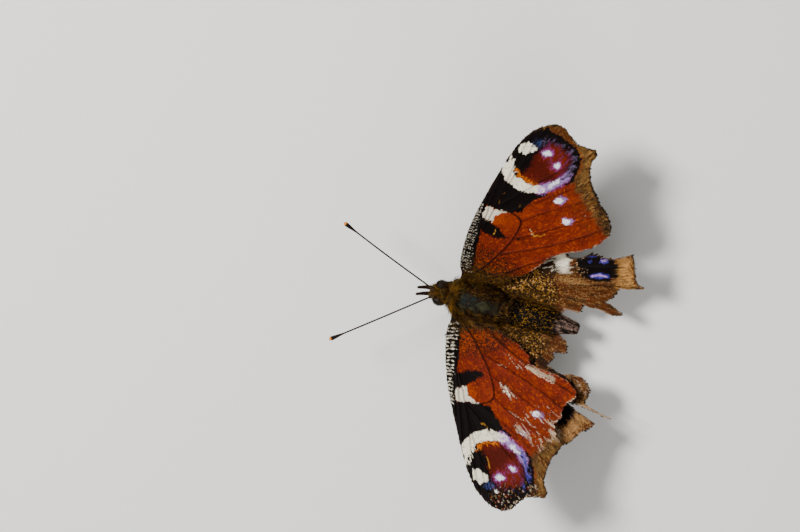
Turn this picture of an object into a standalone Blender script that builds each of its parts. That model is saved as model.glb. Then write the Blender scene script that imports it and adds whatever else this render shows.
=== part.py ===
"""A still, life-size peacock butterfly (Aglais io) at rest with worn, half-raised wings.

Run with: blender --background --python part.py
The helpers work in millimetres, and finish_node turns each mesh to metres.
The head points to -Y, the butterfly's left is +X, and the feet stand on z = 0.
"""

import math
import random

import bmesh
import bpy
from mathutils import Matrix, Vector
from mathutils.geometry import delaunay_2d_cdt

MILLIMETRE = 0.001
GAP = 0.3
SHARP_ANGLE = math.radians(40)

# The thorax centre, which carries the rest. It stands BODY_HEIGHT over the floor.
BODY_HEIGHT = 5.0
BODY_CENTRE = Vector((1.37, -0.69, BODY_HEIGHT))

# Head, thorax and abdomen, measured to the tips of the fur, along Y from the thorax centre.
NECK_Y = -4.5
WAIST_Y = 3.9
HEAD_FRONT_Y = -7.0
TAIL_Y = 14.6
HEAD_WIDTH = 2.6
HEAD_HEIGHT = 2.7
HEAD_TURN = 0.14
HEAD_LIFT = 0.05
THORAX_WIDTH = 5.5
THORAX_HEIGHT = 5.2
ABDOMEN_WIDTH = 4.0
ABDOMEN_HEIGHT = 3.9
ABDOMEN_DROOP = 0.6
ABDOMEN_RINGS = 7
RING_DEPTH = 0.035
HEAD_SIDES = 20
THORAX_SIDES = 24
ABDOMEN_SIDES = 20
EYE_RADIUS = Vector((0.72, 0.92, 1.0))
EYE_PLACE = Vector((1.12, -5.75, 0.25))

# Wings: hinges from the thorax centre, and the angles that pose them in degrees.
FOREWING_HINGES = {"left": Vector((2.84, -2.79, 0.6)), "right": Vector((-3.24, -2.79, 0.6))}
HINDWING_HINGES = {"left": Vector((2.7, 0.3, -0.4)), "right": Vector((-3.1, 0.3, -0.4))}
FOREWING_RISE = 17.0
HINDWING_RISE = 13.5
FOREWING_SWEEP = {"left": 29.7, "right": 17.6}
HINDWING_SWEEP = {"left": 69.5, "right": 75.4}
WING_THICKNESS = 0.5
WING_ARCH = 0.45
ARCH_REACH = 27.0
VEIN_HEIGHT = 0.14
VEIN_SIDE = 0.42
VEIN_STEP = 1.5
EDGE_STEP = 1.0
EDGE_MERGE = 0.25
FLANK_SPACING = 0.45
FLANK_MARGIN = 0.4
MEMBRANE_STEP = 2.1
MEMBRANE_SPACING = 1.15
RAGGED_STEP = 0.75
RAGGED_DEPTH = 0.22

# Wing outlines lie flat, in millimetres: along the wing from its hinge, and forward of that line.
FOREWING_COSTA = [
    (-1.6, 0.3), (0.2, 0.75), (1.2, 1.5), (2.8, 2.1), (5.0, 2.65), (7.6, 3.1), (10.5, 3.35),
    (14.5, 3.45), (18.5, 3.45), (21.5, 3.3), (24.0, 2.9), (26.0, 2.1), (27.4, 1.1), (28.3, -0.1),
]
FOREWING_MARGIN = [
    (28.5, -1.1), (27.8, -2.6), (27.3, -4.0), (27.6, -5.2), (28.0, -6.4), (27.2, -6.9),
    (26.0, -6.8), (24.8, -7.3), (23.7, -8.0), (22.7, -8.8), (22.0, -9.9), (21.2, -10.8),
    (20.7, -12.0), (19.9, -12.9),
]
FOREWING_KEPT_MARGIN = {"left": 11, "right": 14}
FOREWING_TORN = {
    "left": [
        (21.2, -10.7), (20.2, -10.0), (18.3, -10.2), (17.9, -10.7), (17.6, -11.3),
        (16.3, -12.0), (15.8, -12.7), (15.6, -13.5), (15.2, -14.1), (14.3, -14.3),
        (12.6, -13.3), (11.5, -12.1), (10.7, -10.7), (9.8, -9.6), (9.1, -8.6), (7.9, -8.9),
        (6.2, -8.0),
    ],
    "right": [
        (19.4, -13.6), (18.5, -14.1), (17.8, -14.3), (17.3, -14.1), (15.4, -13.5),
        (14.6, -13.0), (13.3, -12.0), (12.3, -10.9), (11.3, -9.8), (10.0, -8.8), (8.9, -8.5),
        (7.4, -8.0), (6.1, -7.4),
    ],
}
FOREWING_DORSUM = [(4.9, -6.9), (1.8, -4.2), (0.4, -2.2), (-1.6, -1.2)]

HINDWING_COSTA = [
    (-1.9, -1.0), (-1.6, 1.0), (-0.4, 3.3), (1.8, 6.2), (4.8, 9.0), (8.4, 10.9), (10.2, 11.2),
    (13.2, 11.4), (16.2, 10.8), (18.2, 9.9),
]
HINDWING_KEPT_COSTA = {"left": 10, "right": 7}
HINDWING_TORN = {
    "left": [
        (19.0, 9.2), (20.0, 7.6), (21.0, 6.0), (21.1, 5.0), (21.3, 4.0), (21.9, 3.0),
        (22.2, 1.9), (19.2, 2.0), (17.4, 2.0), (19.0, 1.12), (20.6, 0.86), (22.2, 0.64),
        (23.8, 0.2), (23.7, -0.1), (22.2, 0.12), (20.6, 0.34), (19.2, 0.4), (19.2, -0.2),
        (19.1, -1.0), (18.6, -1.7), (17.8, -2.1), (16.7, -2.3), (15.5, -1.8), (14.3, -1.0),
        (13.4, -0.8), (11.8, -0.8), (11.9, -2.1), (11.4, -2.7), (12.9, -3.7), (12.6, -4.3),
        (12.0, -5.1),
    ],
    "right": [
        (10.4, 8.5), (10.9, 5.8), (12.3, 4.3), (13.1, 4.2), (14.2, 4.4), (15.5, 5.1),
        (16.5, 4.8), (17.4, 4.4), (18.8, 4.3), (20.4, 4.8), (21.4, 5.1), (21.6, 2.5),
        (21.6, 1.3), (21.9, 0.5), (22.7, 0.2), (22.7, -0.1), (20.6, -0.25), (19.2, -0.2),
        (18.8, -1.0), (18.1, -1.7), (17.0, -2.4), (17.8, -2.7), (18.5, -3.4), (19.3, -4.0),
        (19.3, -4.5), (18.0, -4.5), (16.8, -3.9), (16.0, -3.5), (14.8, -3.4), (13.7, -2.9),
        (13.6, -3.6), (13.2, -4.3), (12.1, -4.0), (11.3, -3.8), (10.6, -4.6),
    ],
}
HINDWING_INNER = [(9.8, -5.4), (6.0, -5.4), (2.0, -4.6), (-1.9, -3.4)]

FOREWING_VEINS = {
    "Sc": [(0.5, 1.0), (4.0, 1.9), (9.0, 2.6), (13.6, 3.2)],
    "R1": [(5.0, 1.35), (10.0, 2.0), (17.8, 3.2)],
    "R": [(0.4, 0.2), (5.0, 1.3), (10.0, 1.45), (14.0, 1.6), (20.0, 1.3), (28.0, -0.9)],
    "R3": [(14.0, 1.6), (19.0, 2.2), (24.6, 2.4)],
    "R4": [(20.0, 1.3), (24.0, 1.4), (27.2, 1.0)],
    "M1": [(12.4, 1.5), (14.4, 0.4), (20.0, -2.2), (27.6, -6.3)],
    "M2": [(12.4, 1.5), (13.0, -0.5), (18.0, -4.1), (23.4, -7.9)],
    "Cu": [(0.4, -0.5), (3.0, -1.5), (6.0, -2.3), (9.4, -2.9), (12.6, -2.6), (13.0, -0.5)],
    "M3": [(12.6, -2.6), (16.0, -5.0), (21.7, -9.8)],
    "CuA1": [(9.4, -2.9), (14.0, -6.8), (20.4, -11.8)],
    "CuA2": [(6.0, -2.3), (9.0, -5.4), (13.4, -9.4), (19.1, -13.7)],
    "2A": [(0.2, -1.2), (3.2, -4.0), (7.4, -6.9), (12.2, -11.3), (17.1, -16.0)],
}
HINDWING_VEINS = {
    "Sc": [(0.6, 0.8), (2.4, 4.6), (6.0, 8.4), (12.6, 11.0)],
    "Rs": [(1.6, 1.4), (6.0, 5.6), (11.0, 8.0), (18.7, 9.0)],
    "M1": [(5.0, 4.8), (9.0, 4.9), (14.0, 5.9), (20.6, 6.2)],
    "M2": [(5.0, 4.8), (8.4, 3.0), (14.0, 3.0), (21.4, 3.3)],
    "M3": [(0.4, -0.2), (5.0, 0.0), (9.0, 0.1), (15.0, 0.3), (18.6, 0.4)],
    "CuA1": [(5.0, 0.0), (10.0, -1.4), (15.0, -2.7), (19.0, -4.3)],
    "CuA2": [(2.4, -0.8), (8.0, -2.7), (13.0, -4.6)],
    "2A": [(0.0, -1.4), (5.0, -3.0), (10.0, -4.4)],
}

# Antennae, palps and the coiled tongue, from the thorax centre.
ANTENNA_BASE = Vector((0.5, -6.75, 0.95))
ANTENNA_TIPS = {"left": Vector((10.4, -19.3, 3.9)), "right": Vector((-6.7, -21.1, 3.9))}
ANTENNA_SAG = 0.3
ANTENNA_STEP = 0.9
ANTENNA_RADIUS = 0.25
ANTENNA_TIP_RADIUS = 0.15
CLUB_RADIUS = 0.38
CLUB_LENGTH = 2.6
CLUB_ROUNDNESS = 0.7
PALP_ROOT = Vector((0.42, -6.9, -0.55))
PALP_TIP = Vector((0.5, -8.9, 0.75))
PALP_BEND = Vector((0.0, -0.15, -0.15))
PALP_STEP = 0.45
PALP_RADIUS = 0.32
PALP_TAPER = 0.7
TONGUE_CENTRE = Vector((0.0, -6.0, -2.35))
TONGUE_COIL = (0.85, 0.38)
TONGUE_TURNS = 1.3
TONGUE_START = math.radians(70)
TONGUE_STEPS = 22
TONGUE_SIDES = 6
TONGUE_RADIUS = 0.16

# Legs on the left, each from hip to knee, ankle, heel and toe; the right ones mirror them.
LEG_JOINTS = {
    "midleg": [(1.7, -0.9, -1.9), (4.5, -1.7, -0.9), (6.0, -2.5, -3.9), (6.5, -3.1, -5.0), (7.1, -4.4, -5.0)],
    "hindleg": [(1.6, 1.9, -1.8), (4.0, 4.4, -1.1), (5.4, 8.0, -3.9), (5.9, 9.3, -5.0), (6.4, 11.4, -5.0)],
}
FEMUR_RADII = (0.42, 0.3)
TIBIA_RADII = (0.3, 0.25)
TARSUS_HEIGHT = 0.5
TARSUS_WIDTH = 0.5
FORELEG_PATH = [(1.25, -2.6, -3.0), (1.15, -3.9, -3.25), (0.95, -5.2, -2.9), (0.8, -6.0, -2.2)]
FORELEG_RADIUS = 0.3
FORELEG_STEP = 0.6

COLOURS = {
    "brown_fur": ((0.10, 0.05, 0.03), 0.85),
    "dark_cuticle": ((0.03, 0.025, 0.025), 0.6),
    "compound_eye": ((0.05, 0.03, 0.03), 0.3),
    "antenna_cuticle": ((0.06, 0.04, 0.03), 0.5),
    "wing_scales": ((0.35, 0.06, 0.03), 0.7),
    "leg_cuticle": ((0.12, 0.08, 0.05), 0.6),
}


def clear_scene():
    for obj in list(bpy.data.objects):
        bpy.data.objects.remove(obj, do_unlink=True)


def make_materials():
    materials = {}
    for name, (colour, roughness) in COLOURS.items():
        material = bpy.data.materials.new(name)
        material.use_nodes = True
        shader = material.node_tree.nodes["Principled BSDF"]
        shader.inputs["Base Color"].default_value = (*colour, 1.0)
        shader.inputs["Roughness"].default_value = roughness
        shader.inputs["Metallic"].default_value = 0.0
        materials[name] = material
    return materials


def mirrored(point, side):
    """A point of the left half, or its twin on the right."""
    x, y, z = point
    return Vector((x if side == "left" else -x, y, z))


def head_turned(point):
    """The head looks a little to the left: what lies ahead of the neck shifts to +X."""
    return point + Vector((max(0.0, NECK_Y - point.y) * HEAD_TURN, 0.0, 0.0))


def smooth_curve(points, step):
    """Points about step apart on a Catmull-Rom curve through the given ones, ends included."""
    points = [Vector(p) for p in points]
    ends = [points[0] * 2 - points[1]] + points + [points[-1] * 2 - points[-2]]
    curve = []
    for before, start, end, after in zip(ends, ends[1:], ends[2:], ends[3:]):
        pieces = max(1, round((end - start).length / step))
        for k in range(pieces):
            t = k / pieces
            curve.append(
                0.5 * (2 * start + (end - before) * t
                       + (2 * before - 5 * start + 4 * end - after) * t**2
                       + (3 * start - before - 3 * end + after) * t**3)
            )
    return curve + [points[-1]]


def straight_run(points, step):
    """Points about step apart on the straight lines between the given ones."""
    points = [Vector(p) for p in points]
    run = []
    for start, end in zip(points, points[1:]):
        pieces = max(1, round((end - start).length / step))
        run += [start.lerp(end, k / pieces) for k in range(pieces)]
    return run + [points[-1]]


def ragged_run(points, rng):
    """A torn edge: a straight run with small random bites."""
    run = straight_run(points, RAGGED_STEP)
    for before, at, after in zip(run, run[1:], run[2:]):
        along = (after - before).normalized()
        at += Vector((-along.y, along.x)) * rng.uniform(-RAGGED_DEPTH, RAGGED_DEPTH)
    return run


def mesh_object(name, vertices, faces):
    mesh = bpy.data.meshes.new(name)
    mesh.from_pydata([tuple(v) for v in vertices], [], faces)
    obj = bpy.data.objects.new(name, mesh)
    bpy.context.scene.collection.objects.link(obj)
    return obj


def tube(name, rings):
    """A closed skin over rings of equal count, with a fan to the middle of each end ring."""
    sides = len(rings[0])
    vertices = [v for ring in rings for v in ring]
    faces = []
    for k in range(len(rings) - 1):
        for i in range(sides):
            j = (i + 1) % sides
            a, b = k * sides, (k + 1) * sides
            faces += [(a + i, a + j, b + j), (a + i, b + j, b + i)]
    for ring, first, turned in ((rings[0], 0, True), (rings[-1], len(vertices) - sides, False)):
        vertices.append(sum(ring, Vector((0, 0, 0))) / sides)
        middle = len(vertices) - 1
        for i in range(sides):
            j = (i + 1) % sides
            a, b = first + i, first + j
            faces.append((b, a, middle) if turned else (a, b, middle))
    obj = mesh_object(name, vertices, faces)
    face_outward(obj)
    return obj


def face_outward(obj):
    mesh = bmesh.new()
    mesh.from_mesh(obj.data)
    bmesh.ops.recalc_face_normals(mesh, faces=mesh.faces)
    mesh.to_mesh(obj.data)
    mesh.free()


def swept_tube(name, path, radii, sides=8):
    """A round tube along the path, whose radius goes through the given values."""
    normal = Vector((0, 0, 1))
    rings = []
    for k, point in enumerate(path):
        ahead = path[min(k + 1, len(path) - 1)] - path[max(k - 1, 0)]
        ahead.normalize()
        across = ahead.cross(normal).normalized()
        normal = across.cross(ahead).normalized()
        radius = radii[k]
        rings.append([
            point + (across * math.cos(a) + normal * math.sin(a)) * radius
            for a in (math.tau * i / sides for i in range(sides))
        ])
    return tube(name, rings)


def lofted_body(name, stations, sides, grow=0.0):
    """A body along Y: each station gives y, centre x and z, half width and half height."""
    rings = []
    first, last = min(s[0] for s in stations), max(s[0] for s in stations)
    for y, x, z, half_width, half_height in stations:
        y += grow if y == last else -grow if y == first else 0.0
        rings.append([
            Vector((x + (half_width + grow) * math.cos(a), y, z + (half_height + grow) * math.sin(a)))
            for a in (math.tau * i / sides for i in range(sides))
        ])
    return tube(name, rings)


def keep_largest(obj):
    """Leaves only the largest closed surface of a node."""
    mesh = bmesh.new()
    mesh.from_mesh(obj.data)
    left, largest = set(mesh.faces), []
    while left:
        found, queue = set(), [left.pop()]
        while queue:
            face = queue.pop()
            found.add(face)
            for edge in face.edges:
                for other in edge.link_faces:
                    if other in left:
                        left.remove(other)
                        queue.append(other)
        if sum(f.calc_area() for f in found) > sum(f.calc_area() for f in largest):
            largest = list(found)
    bmesh.ops.delete(mesh, geom=[f for f in mesh.faces if f not in set(largest)], context="FACES")
    mesh.to_mesh(obj.data)
    mesh.free()


def cut_away(obj, cutters):
    """Cuts obj clear of the cutters and applies it."""
    for cutter in cutters:
        modifier = obj.modifiers.new("clear", "BOOLEAN")
        modifier.operation = "DIFFERENCE"
        modifier.object = cutter
    bpy.context.view_layer.update()
    graph = bpy.context.evaluated_depsgraph_get()
    cut = bpy.data.meshes.new_from_object(obj.evaluated_get(graph))
    obj.modifiers.clear()
    obj.data = cut
    keep_largest(obj)


def head_stations():
    """The head: a short round form, flat at the neck, shifted along its turn."""
    back, front = NECK_Y - GAP / 2, HEAD_FRONT_Y
    profile = ((0.0, 0.62), (0.12, 0.84), (0.35, 1.0), (0.6, 0.98), (0.8, 0.82), (0.93, 0.55), (1.0, 0.25))
    stations = []
    for share, size in profile:
        y = back + (front - back) * share
        x = head_turned(Vector((0, y, 0))).x
        stations.append((y, x, HEAD_LIFT, HEAD_WIDTH / 2 * size, HEAD_HEIGHT / 2 * size))
    return stations


def thorax_stations():
    """The thorax: widest behind its middle, flat at the neck and the waist."""
    front, back = NECK_Y + GAP / 2, WAIST_Y - GAP / 2
    profile = (
        (0.0, 0.5, 0.1), (0.06, 0.66, 0.1), (0.15, 0.8, 0.1), (0.28, 0.92, 0.05), (0.42, 0.99, 0.0),
        (0.56, 1.0, 0.0), (0.7, 0.96, 0.0), (0.83, 0.88, -0.05), (0.93, 0.8, -0.1), (1.0, 0.72, -0.1),
    )
    stations = []
    for share, size, z in profile:
        y = front + (back - front) * share
        stations.append((y, 0.0, z, THORAX_WIDTH / 2 * size, THORAX_HEIGHT / 2 * size))
    return stations


def abdomen_stations(count=22):
    """The abdomen: seven slight rings, drooping and tapering to a blunt tail."""
    front = WAIST_Y + GAP / 2
    stations = []
    for k in range(count + 1):
        share = k / count
        y = front + (TAIL_Y - front) * share
        taper = 0.86 + 0.14 * math.sin(math.pi * min(1.0, share / 0.35) / 2)
        taper *= math.sqrt(max(0.0, 1.0 - max(0.0, (share - 0.3) / 0.7) ** 2.2 * 0.93))
        ripple = 1.0 + RING_DEPTH * math.cos(math.tau * share * ABDOMEN_RINGS)
        z = -0.1 - ABDOMEN_DROOP * share**2
        stations.append((y, 0.0, z, ABDOMEN_WIDTH / 2 * taper * ripple, ABDOMEN_HEIGHT / 2 * taper * ripple))
    return stations


def make_eye(name, side):
    """A bulging eye, cut clear of the head it sits on."""
    mesh = bpy.data.meshes.new(name)
    shape = bmesh.new()
    bmesh.ops.create_icosphere(shape, subdivisions=3, radius=1.0)
    shape.to_mesh(mesh)
    shape.free()
    mesh.transform(Matrix.Diagonal((*EYE_RADIUS, 1.0)))
    mesh.transform(Matrix.Translation(head_turned(mirrored(EYE_PLACE, side))))
    obj = bpy.data.objects.new(name, mesh)
    bpy.context.scene.collection.objects.link(obj)
    return obj


def make_antenna(name, side):
    """A thin shaft that bows a little and swells into its club."""
    base = head_turned(mirrored(ANTENNA_BASE, side))
    tip = ANTENNA_TIPS[side]
    middle = base.lerp(tip, 0.5) + Vector((0, 0, ANTENNA_SAG))
    path = smooth_curve([base, middle, tip], ANTENNA_STEP)
    radii = []
    for point in path:
        into_club = 1.0 - min(1.0, (tip - point).length / CLUB_LENGTH)
        swell = math.sin(math.pi * min(1.0, into_club * 1.2) ** CLUB_ROUNDNESS)
        radii.append(ANTENNA_RADIUS + (CLUB_RADIUS - ANTENNA_RADIUS) * swell)
    radii[-1] = ANTENNA_TIP_RADIUS
    return swept_tube(name, path, radii)


def make_palp(name, side):
    root = head_turned(mirrored(PALP_ROOT, side))
    tip = head_turned(mirrored(PALP_TIP, side))
    middle = root.lerp(tip, 0.5) + PALP_BEND
    path = smooth_curve([root, middle, tip], PALP_STEP)
    radii = [PALP_RADIUS * (1.0 - PALP_TAPER * (k / (len(path) - 1)) ** 2) for k in range(len(path))]
    return swept_tube(name, path, radii)


def make_tongue(name):
    """The tongue at rest, wound in a coil under the head."""
    outer, inner = TONGUE_COIL
    path = []
    for k in range(TONGUE_STEPS + 1):
        share = k / TONGUE_STEPS
        angle = TONGUE_START - math.tau * TONGUE_TURNS * share
        radius = outer + (inner - outer) * share
        spot = TONGUE_CENTRE + Vector((0.0, -radius * math.cos(angle), radius * math.sin(angle)))
        path.append(head_turned(spot))
    rings = []
    for k, point in enumerate(path):
        ahead = (path[min(k + 1, TONGUE_STEPS)] - path[max(k - 1, 0)]).normalized()
        across = Vector((1, 0, 0))
        normal = across.cross(ahead).normalized()
        rings.append([
            point + (across * math.cos(a) + normal * math.sin(a)) * TONGUE_RADIUS
            for a in (math.tau * i / TONGUE_SIDES for i in range(TONGUE_SIDES))
        ])
    return tube(name, rings)


def wing_axes(side, rise, sweep):
    """Unit vectors along the wing, forward across it, and up off it."""
    rise, sweep = math.radians(rise), math.radians(sweep)
    out = Vector((math.cos(rise) * (1 if side == "left" else -1), 0, math.sin(rise)))
    forward = Vector((0, -1, 0))
    along = out * math.cos(sweep) - forward * math.sin(sweep)
    across = out * math.sin(sweep) + forward * math.cos(sweep)
    up = Vector((-math.sin(rise) * (1 if side == "left" else -1), 0, math.cos(rise)))
    return along, across, up


def wing_point(flat, height, hinge, axes, sweep):
    """A flat wing point in place: the wing arches a little from its root to its tip."""
    along, across, up = axes
    sweep = math.radians(sweep)
    out = flat[0] * math.cos(sweep) + flat[1] * math.sin(sweep)
    arch = WING_ARCH * 4 * out * (ARCH_REACH - out) / ARCH_REACH**2
    return hinge + along * flat[0] + across * flat[1] + up * (arch + height)


def forewing_outline(side):
    rng = random.Random("forewing " + side)
    outline = smooth_curve(FOREWING_COSTA, EDGE_STEP)
    outline += straight_run(FOREWING_MARGIN[: FOREWING_KEPT_MARGIN[side]], EDGE_STEP)
    outline += ragged_run(FOREWING_TORN[side], rng)
    return outline + smooth_curve(FOREWING_DORSUM, EDGE_STEP)


def hindwing_outline(side):
    outline = smooth_curve(HINDWING_COSTA[: HINDWING_KEPT_COSTA[side]], EDGE_STEP)
    outline += straight_run(HINDWING_TORN[side], RAGGED_STEP)
    return outline + smooth_curve(HINDWING_INNER, EDGE_STEP)


def inside(point, outline):
    """Whether a flat point lies inside the outline."""
    within = False
    for a, b in zip(outline, outline[1:] + outline[:1]):
        if (a.y > point.y) != (b.y > point.y):
            if point.x < a.x + (b.x - a.x) * (point.y - a.y) / (b.y - a.y):
                within = not within
    return within


def far_from(point, others, distance):
    return all((point - other).length > distance for other in others)


def without_doubles(outline):
    """The outline without points that almost coincide."""
    kept = []
    for point in outline:
        if not kept or (point - kept[-1]).length > EDGE_MERGE:
            kept.append(point)
    if (kept[0] - kept[-1]).length < EDGE_MERGE:
        kept.pop()
    return kept


def vein_ridges(outline, veins):
    """Points along the veins inside the outline, the edges between them, and the points beside them."""
    ridge, edges, flanks = [], [], []
    for control in veins.values():
        last = None
        curve = smooth_curve(control, VEIN_STEP)
        for k, point in enumerate(curve):
            if not inside(point, outline) or not far_from(point, outline, VEIN_SIDE):
                last = None
                continue
            near = [i for i, other in enumerate(ridge) if (other - point).length < VEIN_SIDE]
            if not near:
                near = [len(ridge)]
                ridge.append(point)
            if last is not None and last != near[0]:
                edges.append((last, near[0]))
            last = near[0]
            ahead = (curve[min(k + 1, len(curve) - 1)] - curve[max(k - 1, 0)]).normalized()
            beside = Vector((-ahead.y, ahead.x)) * VEIN_SIDE
            flanks += [point + beside, point - beside]
    kept = []
    for flank in flanks:
        clear = far_from(flank, ridge, VEIN_SIDE * 0.9) and far_from(flank, kept, FLANK_SPACING)
        if clear and inside(flank, outline) and far_from(flank, outline, FLANK_MARGIN):
            kept.append(flank)
    return ridge, edges, kept


def membrane_grid(outline, taken):
    """Points that fill the wing in staggered rows, clear of those already taken."""
    x_low, x_high = min(p.x for p in outline), max(p.x for p in outline)
    y_low, y_high = min(p.y for p in outline), max(p.y for p in outline)
    row_step = MEMBRANE_STEP * math.sqrt(0.75)
    filled = []
    for row in range(math.ceil((y_high - y_low) / row_step)):
        shift = (row % 2) * MEMBRANE_STEP / 2
        for column in range(math.ceil((x_high - x_low - shift) / MEMBRANE_STEP)):
            spot = Vector((x_low + shift + column * MEMBRANE_STEP, y_low + row * row_step))
            if inside(spot, outline) and far_from(spot, taken, MEMBRANE_SPACING):
                filled.append(spot)
    return filled


def wing_layout(outline, veins):
    """Flat points with their heights as shares of the vein's height, edges, and the outline's loop."""
    outline = without_doubles(outline)
    count = len(outline)
    ridge, ridge_edges, flanks = vein_ridges(outline, veins)
    taken = outline + ridge + flanks
    points = taken + membrane_grid(outline, taken)
    lift = [1.0 if count <= k < count + len(ridge) else 0.0 for k in range(len(points))]
    edges = [(k, (k + 1) % count) for k in range(count)]
    edges += [(count + a, count + b) for a, b in ridge_edges]
    return points, lift, edges, list(range(count))


def make_wing(name, outline, veins, hinge, side, rise, sweep):
    """A closed membrane split alike on both faces, with its veins raised in the upper one."""
    points, lift, edges, loop = wing_layout(outline, veins)
    flat, _, faces, origins, _, _ = delaunay_2d_cdt(points, edges, [loop], 1, 1e-5)
    axes = wing_axes(side, rise, sweep)
    heights = []
    for k in range(len(flat)):
        source = origins[k][0] if origins[k] else 0
        heights.append(lift[source] * VEIN_HEIGHT)
    half = WING_THICKNESS / 2
    upper = [wing_point(p, half + h, hinge, axes, sweep) for p, h in zip(flat, heights)]
    lower = [wing_point(p, -half, hinge, axes, sweep) for p in flat]
    count = len(flat)
    used = {}
    skin = []
    for face in faces:
        skin.append(tuple(face))
        skin.append(tuple(count + i for i in reversed(face)))
        for a, b in zip(face, face[1:] + face[:1]):
            used[(a, b)] = True
    for a, b in used:
        if (b, a) not in used:
            skin += [(b, a, count + a), (b, count + a, count + b)]
    obj = mesh_object(name, upper + lower, skin)
    face_outward(obj)
    return obj


def shortened(start, end, at_start, at_end):
    """The ends of a limb piece, drawn in from its joints."""
    along = (end - start).normalized()
    return start + along * at_start, end - along * at_end


def make_limb(name, start, end, radii):
    """A straight, slightly swollen limb piece."""
    first, last = radii
    path = [start.lerp(end, share) for share in (0.0, 0.15, 0.45, 0.8, 1.0)]
    sizes = [first * 0.8, first, first * 0.98, last * 1.05, last * 0.9]
    return swept_tube(name, path, sizes)


def make_tarsus(name, ankle, heel, toe):
    """A foot that comes down from the ankle and lies flat on the floor."""
    floor = heel.z
    ahead = Vector((toe.x - ankle.x, toe.y - ankle.y, 0)).normalized()
    across = Vector((-ahead.y, ahead.x, 0))
    rings = []
    for spot, height, width in (
        (ankle, TARSUS_HEIGHT, TARSUS_WIDTH),
        (heel, TARSUS_HEIGHT, TARSUS_WIDTH),
        (heel.lerp(toe, 0.5), TARSUS_HEIGHT, TARSUS_WIDTH),
        (toe, TARSUS_HEIGHT * 0.7, TARSUS_WIDTH * 0.8),
    ):
        bottom = max(floor, spot.z - height / 2)
        ring = []
        for out, up in ((-1, 0), (1, 0), (1, 0.55), (0.45, 1), (-0.45, 1), (-1, 0.55)):
            ring.append(Vector((spot.x, spot.y, bottom)) + across * out * width / 2 + Vector((0, 0, up * height)))
        rings.append(ring)
    return tube(name, rings)


def make_legs(thorax_clear):
    """The four walking legs, and the two short brush feet folded under the thorax."""
    nodes = {}
    for leg, joints in LEG_JOINTS.items():
        for side in ("left", "right"):
            hip, knee, ankle, heel, toe = (mirrored(p, side) for p in joints)
            start, end = shortened(hip, knee, -1.2, GAP * 0.5)
            femur = make_limb(f"{leg}_femur_{side}", start, end, FEMUR_RADII)
            cut_away(femur, [thorax_clear])
            start, end = shortened(knee, ankle, GAP * 1.6, GAP * 0.5)
            tibia = make_limb(f"{leg}_tibia_{side}", start, end, TIBIA_RADII)
            start, end = shortened(ankle, heel, GAP * 1.3, 0.0)
            tarsus = make_tarsus(f"{leg}_tarsus_{side}", start, heel, toe)
            for node in (femur, tibia, tarsus):
                nodes[node.name] = (node, "leg_cuticle")
    for side in ("left", "right"):
        path = smooth_curve([mirrored(p, side) for p in FORELEG_PATH], FORELEG_STEP)
        radii = [FORELEG_RADIUS * (1.0 - 0.5 * (k / (len(path) - 1)) ** 3) for k in range(len(path))]
        foreleg = swept_tube(f"foreleg_{side}", path, radii)
        cut_away(foreleg, [thorax_clear])
        nodes[foreleg.name] = (foreleg, "brown_fur")
    return nodes


def finish_node(obj, material):
    """Moves a node from the thorax centre's frame to the floor's and from millimetres to metres."""
    obj.data.transform(Matrix.Translation(BODY_CENTRE))
    obj.data.transform(Matrix.Scale(MILLIMETRE, 4))
    obj.data.shade_smooth()
    obj.data.set_sharp_from_angle(angle=SHARP_ANGLE)
    obj.data.materials.clear()
    obj.data.materials.append(material)


def main():
    clear_scene()
    materials = make_materials()
    nodes = {}
    nodes["thorax"] = (lofted_body("thorax", thorax_stations(), THORAX_SIDES), "brown_fur")
    nodes["abdomen"] = (lofted_body("abdomen", abdomen_stations(), ABDOMEN_SIDES), "dark_cuticle")
    nodes["head"] = (lofted_body("head", head_stations(), HEAD_SIDES), "brown_fur")
    thorax_clear = lofted_body("thorax_clear", thorax_stations(), THORAX_SIDES, GAP)
    abdomen_clear = lofted_body("abdomen_clear", abdomen_stations(), ABDOMEN_SIDES, GAP)
    head_clear = lofted_body("head_clear", head_stations(), HEAD_SIDES, GAP)
    for side in ("left", "right"):
        eye = make_eye(f"eye_{side}", side)
        cut_away(eye, [head_clear, thorax_clear])
        palp = make_palp(f"palp_{side}", side)
        cut_away(palp, [head_clear])
        antenna = make_antenna(f"antenna_{side}", side)
        cut_away(antenna, [head_clear])
        nodes.update({
            eye.name: (eye, "compound_eye"),
            palp.name: (palp, "brown_fur"),
            antenna.name: (antenna, "antenna_cuticle"),
        })
        forewing = make_wing(
            f"forewing_{side}", forewing_outline(side), FOREWING_VEINS, FOREWING_HINGES[side],
            side, FOREWING_RISE, FOREWING_SWEEP[side],
        )
        cut_away(forewing, [thorax_clear])
        hindwing = make_wing(
            f"hindwing_{side}", hindwing_outline(side), HINDWING_VEINS, HINDWING_HINGES[side],
            side, HINDWING_RISE, HINDWING_SWEEP[side],
        )
        cut_away(hindwing, [thorax_clear, abdomen_clear])
        nodes[forewing.name] = (forewing, "wing_scales")
        nodes[hindwing.name] = (hindwing, "wing_scales")
    tongue = make_tongue("proboscis")
    nodes[tongue.name] = (tongue, "dark_cuticle")
    nodes.update(make_legs(thorax_clear))
    for cutter in (thorax_clear, abdomen_clear, head_clear):
        bpy.data.objects.remove(cutter, do_unlink=True)
    for obj, material in nodes.values():
        finish_node(obj, materials[material])


main()
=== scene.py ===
"""The looks of a life-size peacock butterfly (Aglais io): scaled wings, furred body, feelers and legs.

Run inside Blender 4.5 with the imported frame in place. The makers work in millimetres measured from
the centre of the thorax, with the head towards -Y and the butterfly's left at +X, and add_piece
turns them to metres. Flat wing coordinates run along the wing from its hinge, and forward across it.
"""

import math
from types import SimpleNamespace

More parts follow.
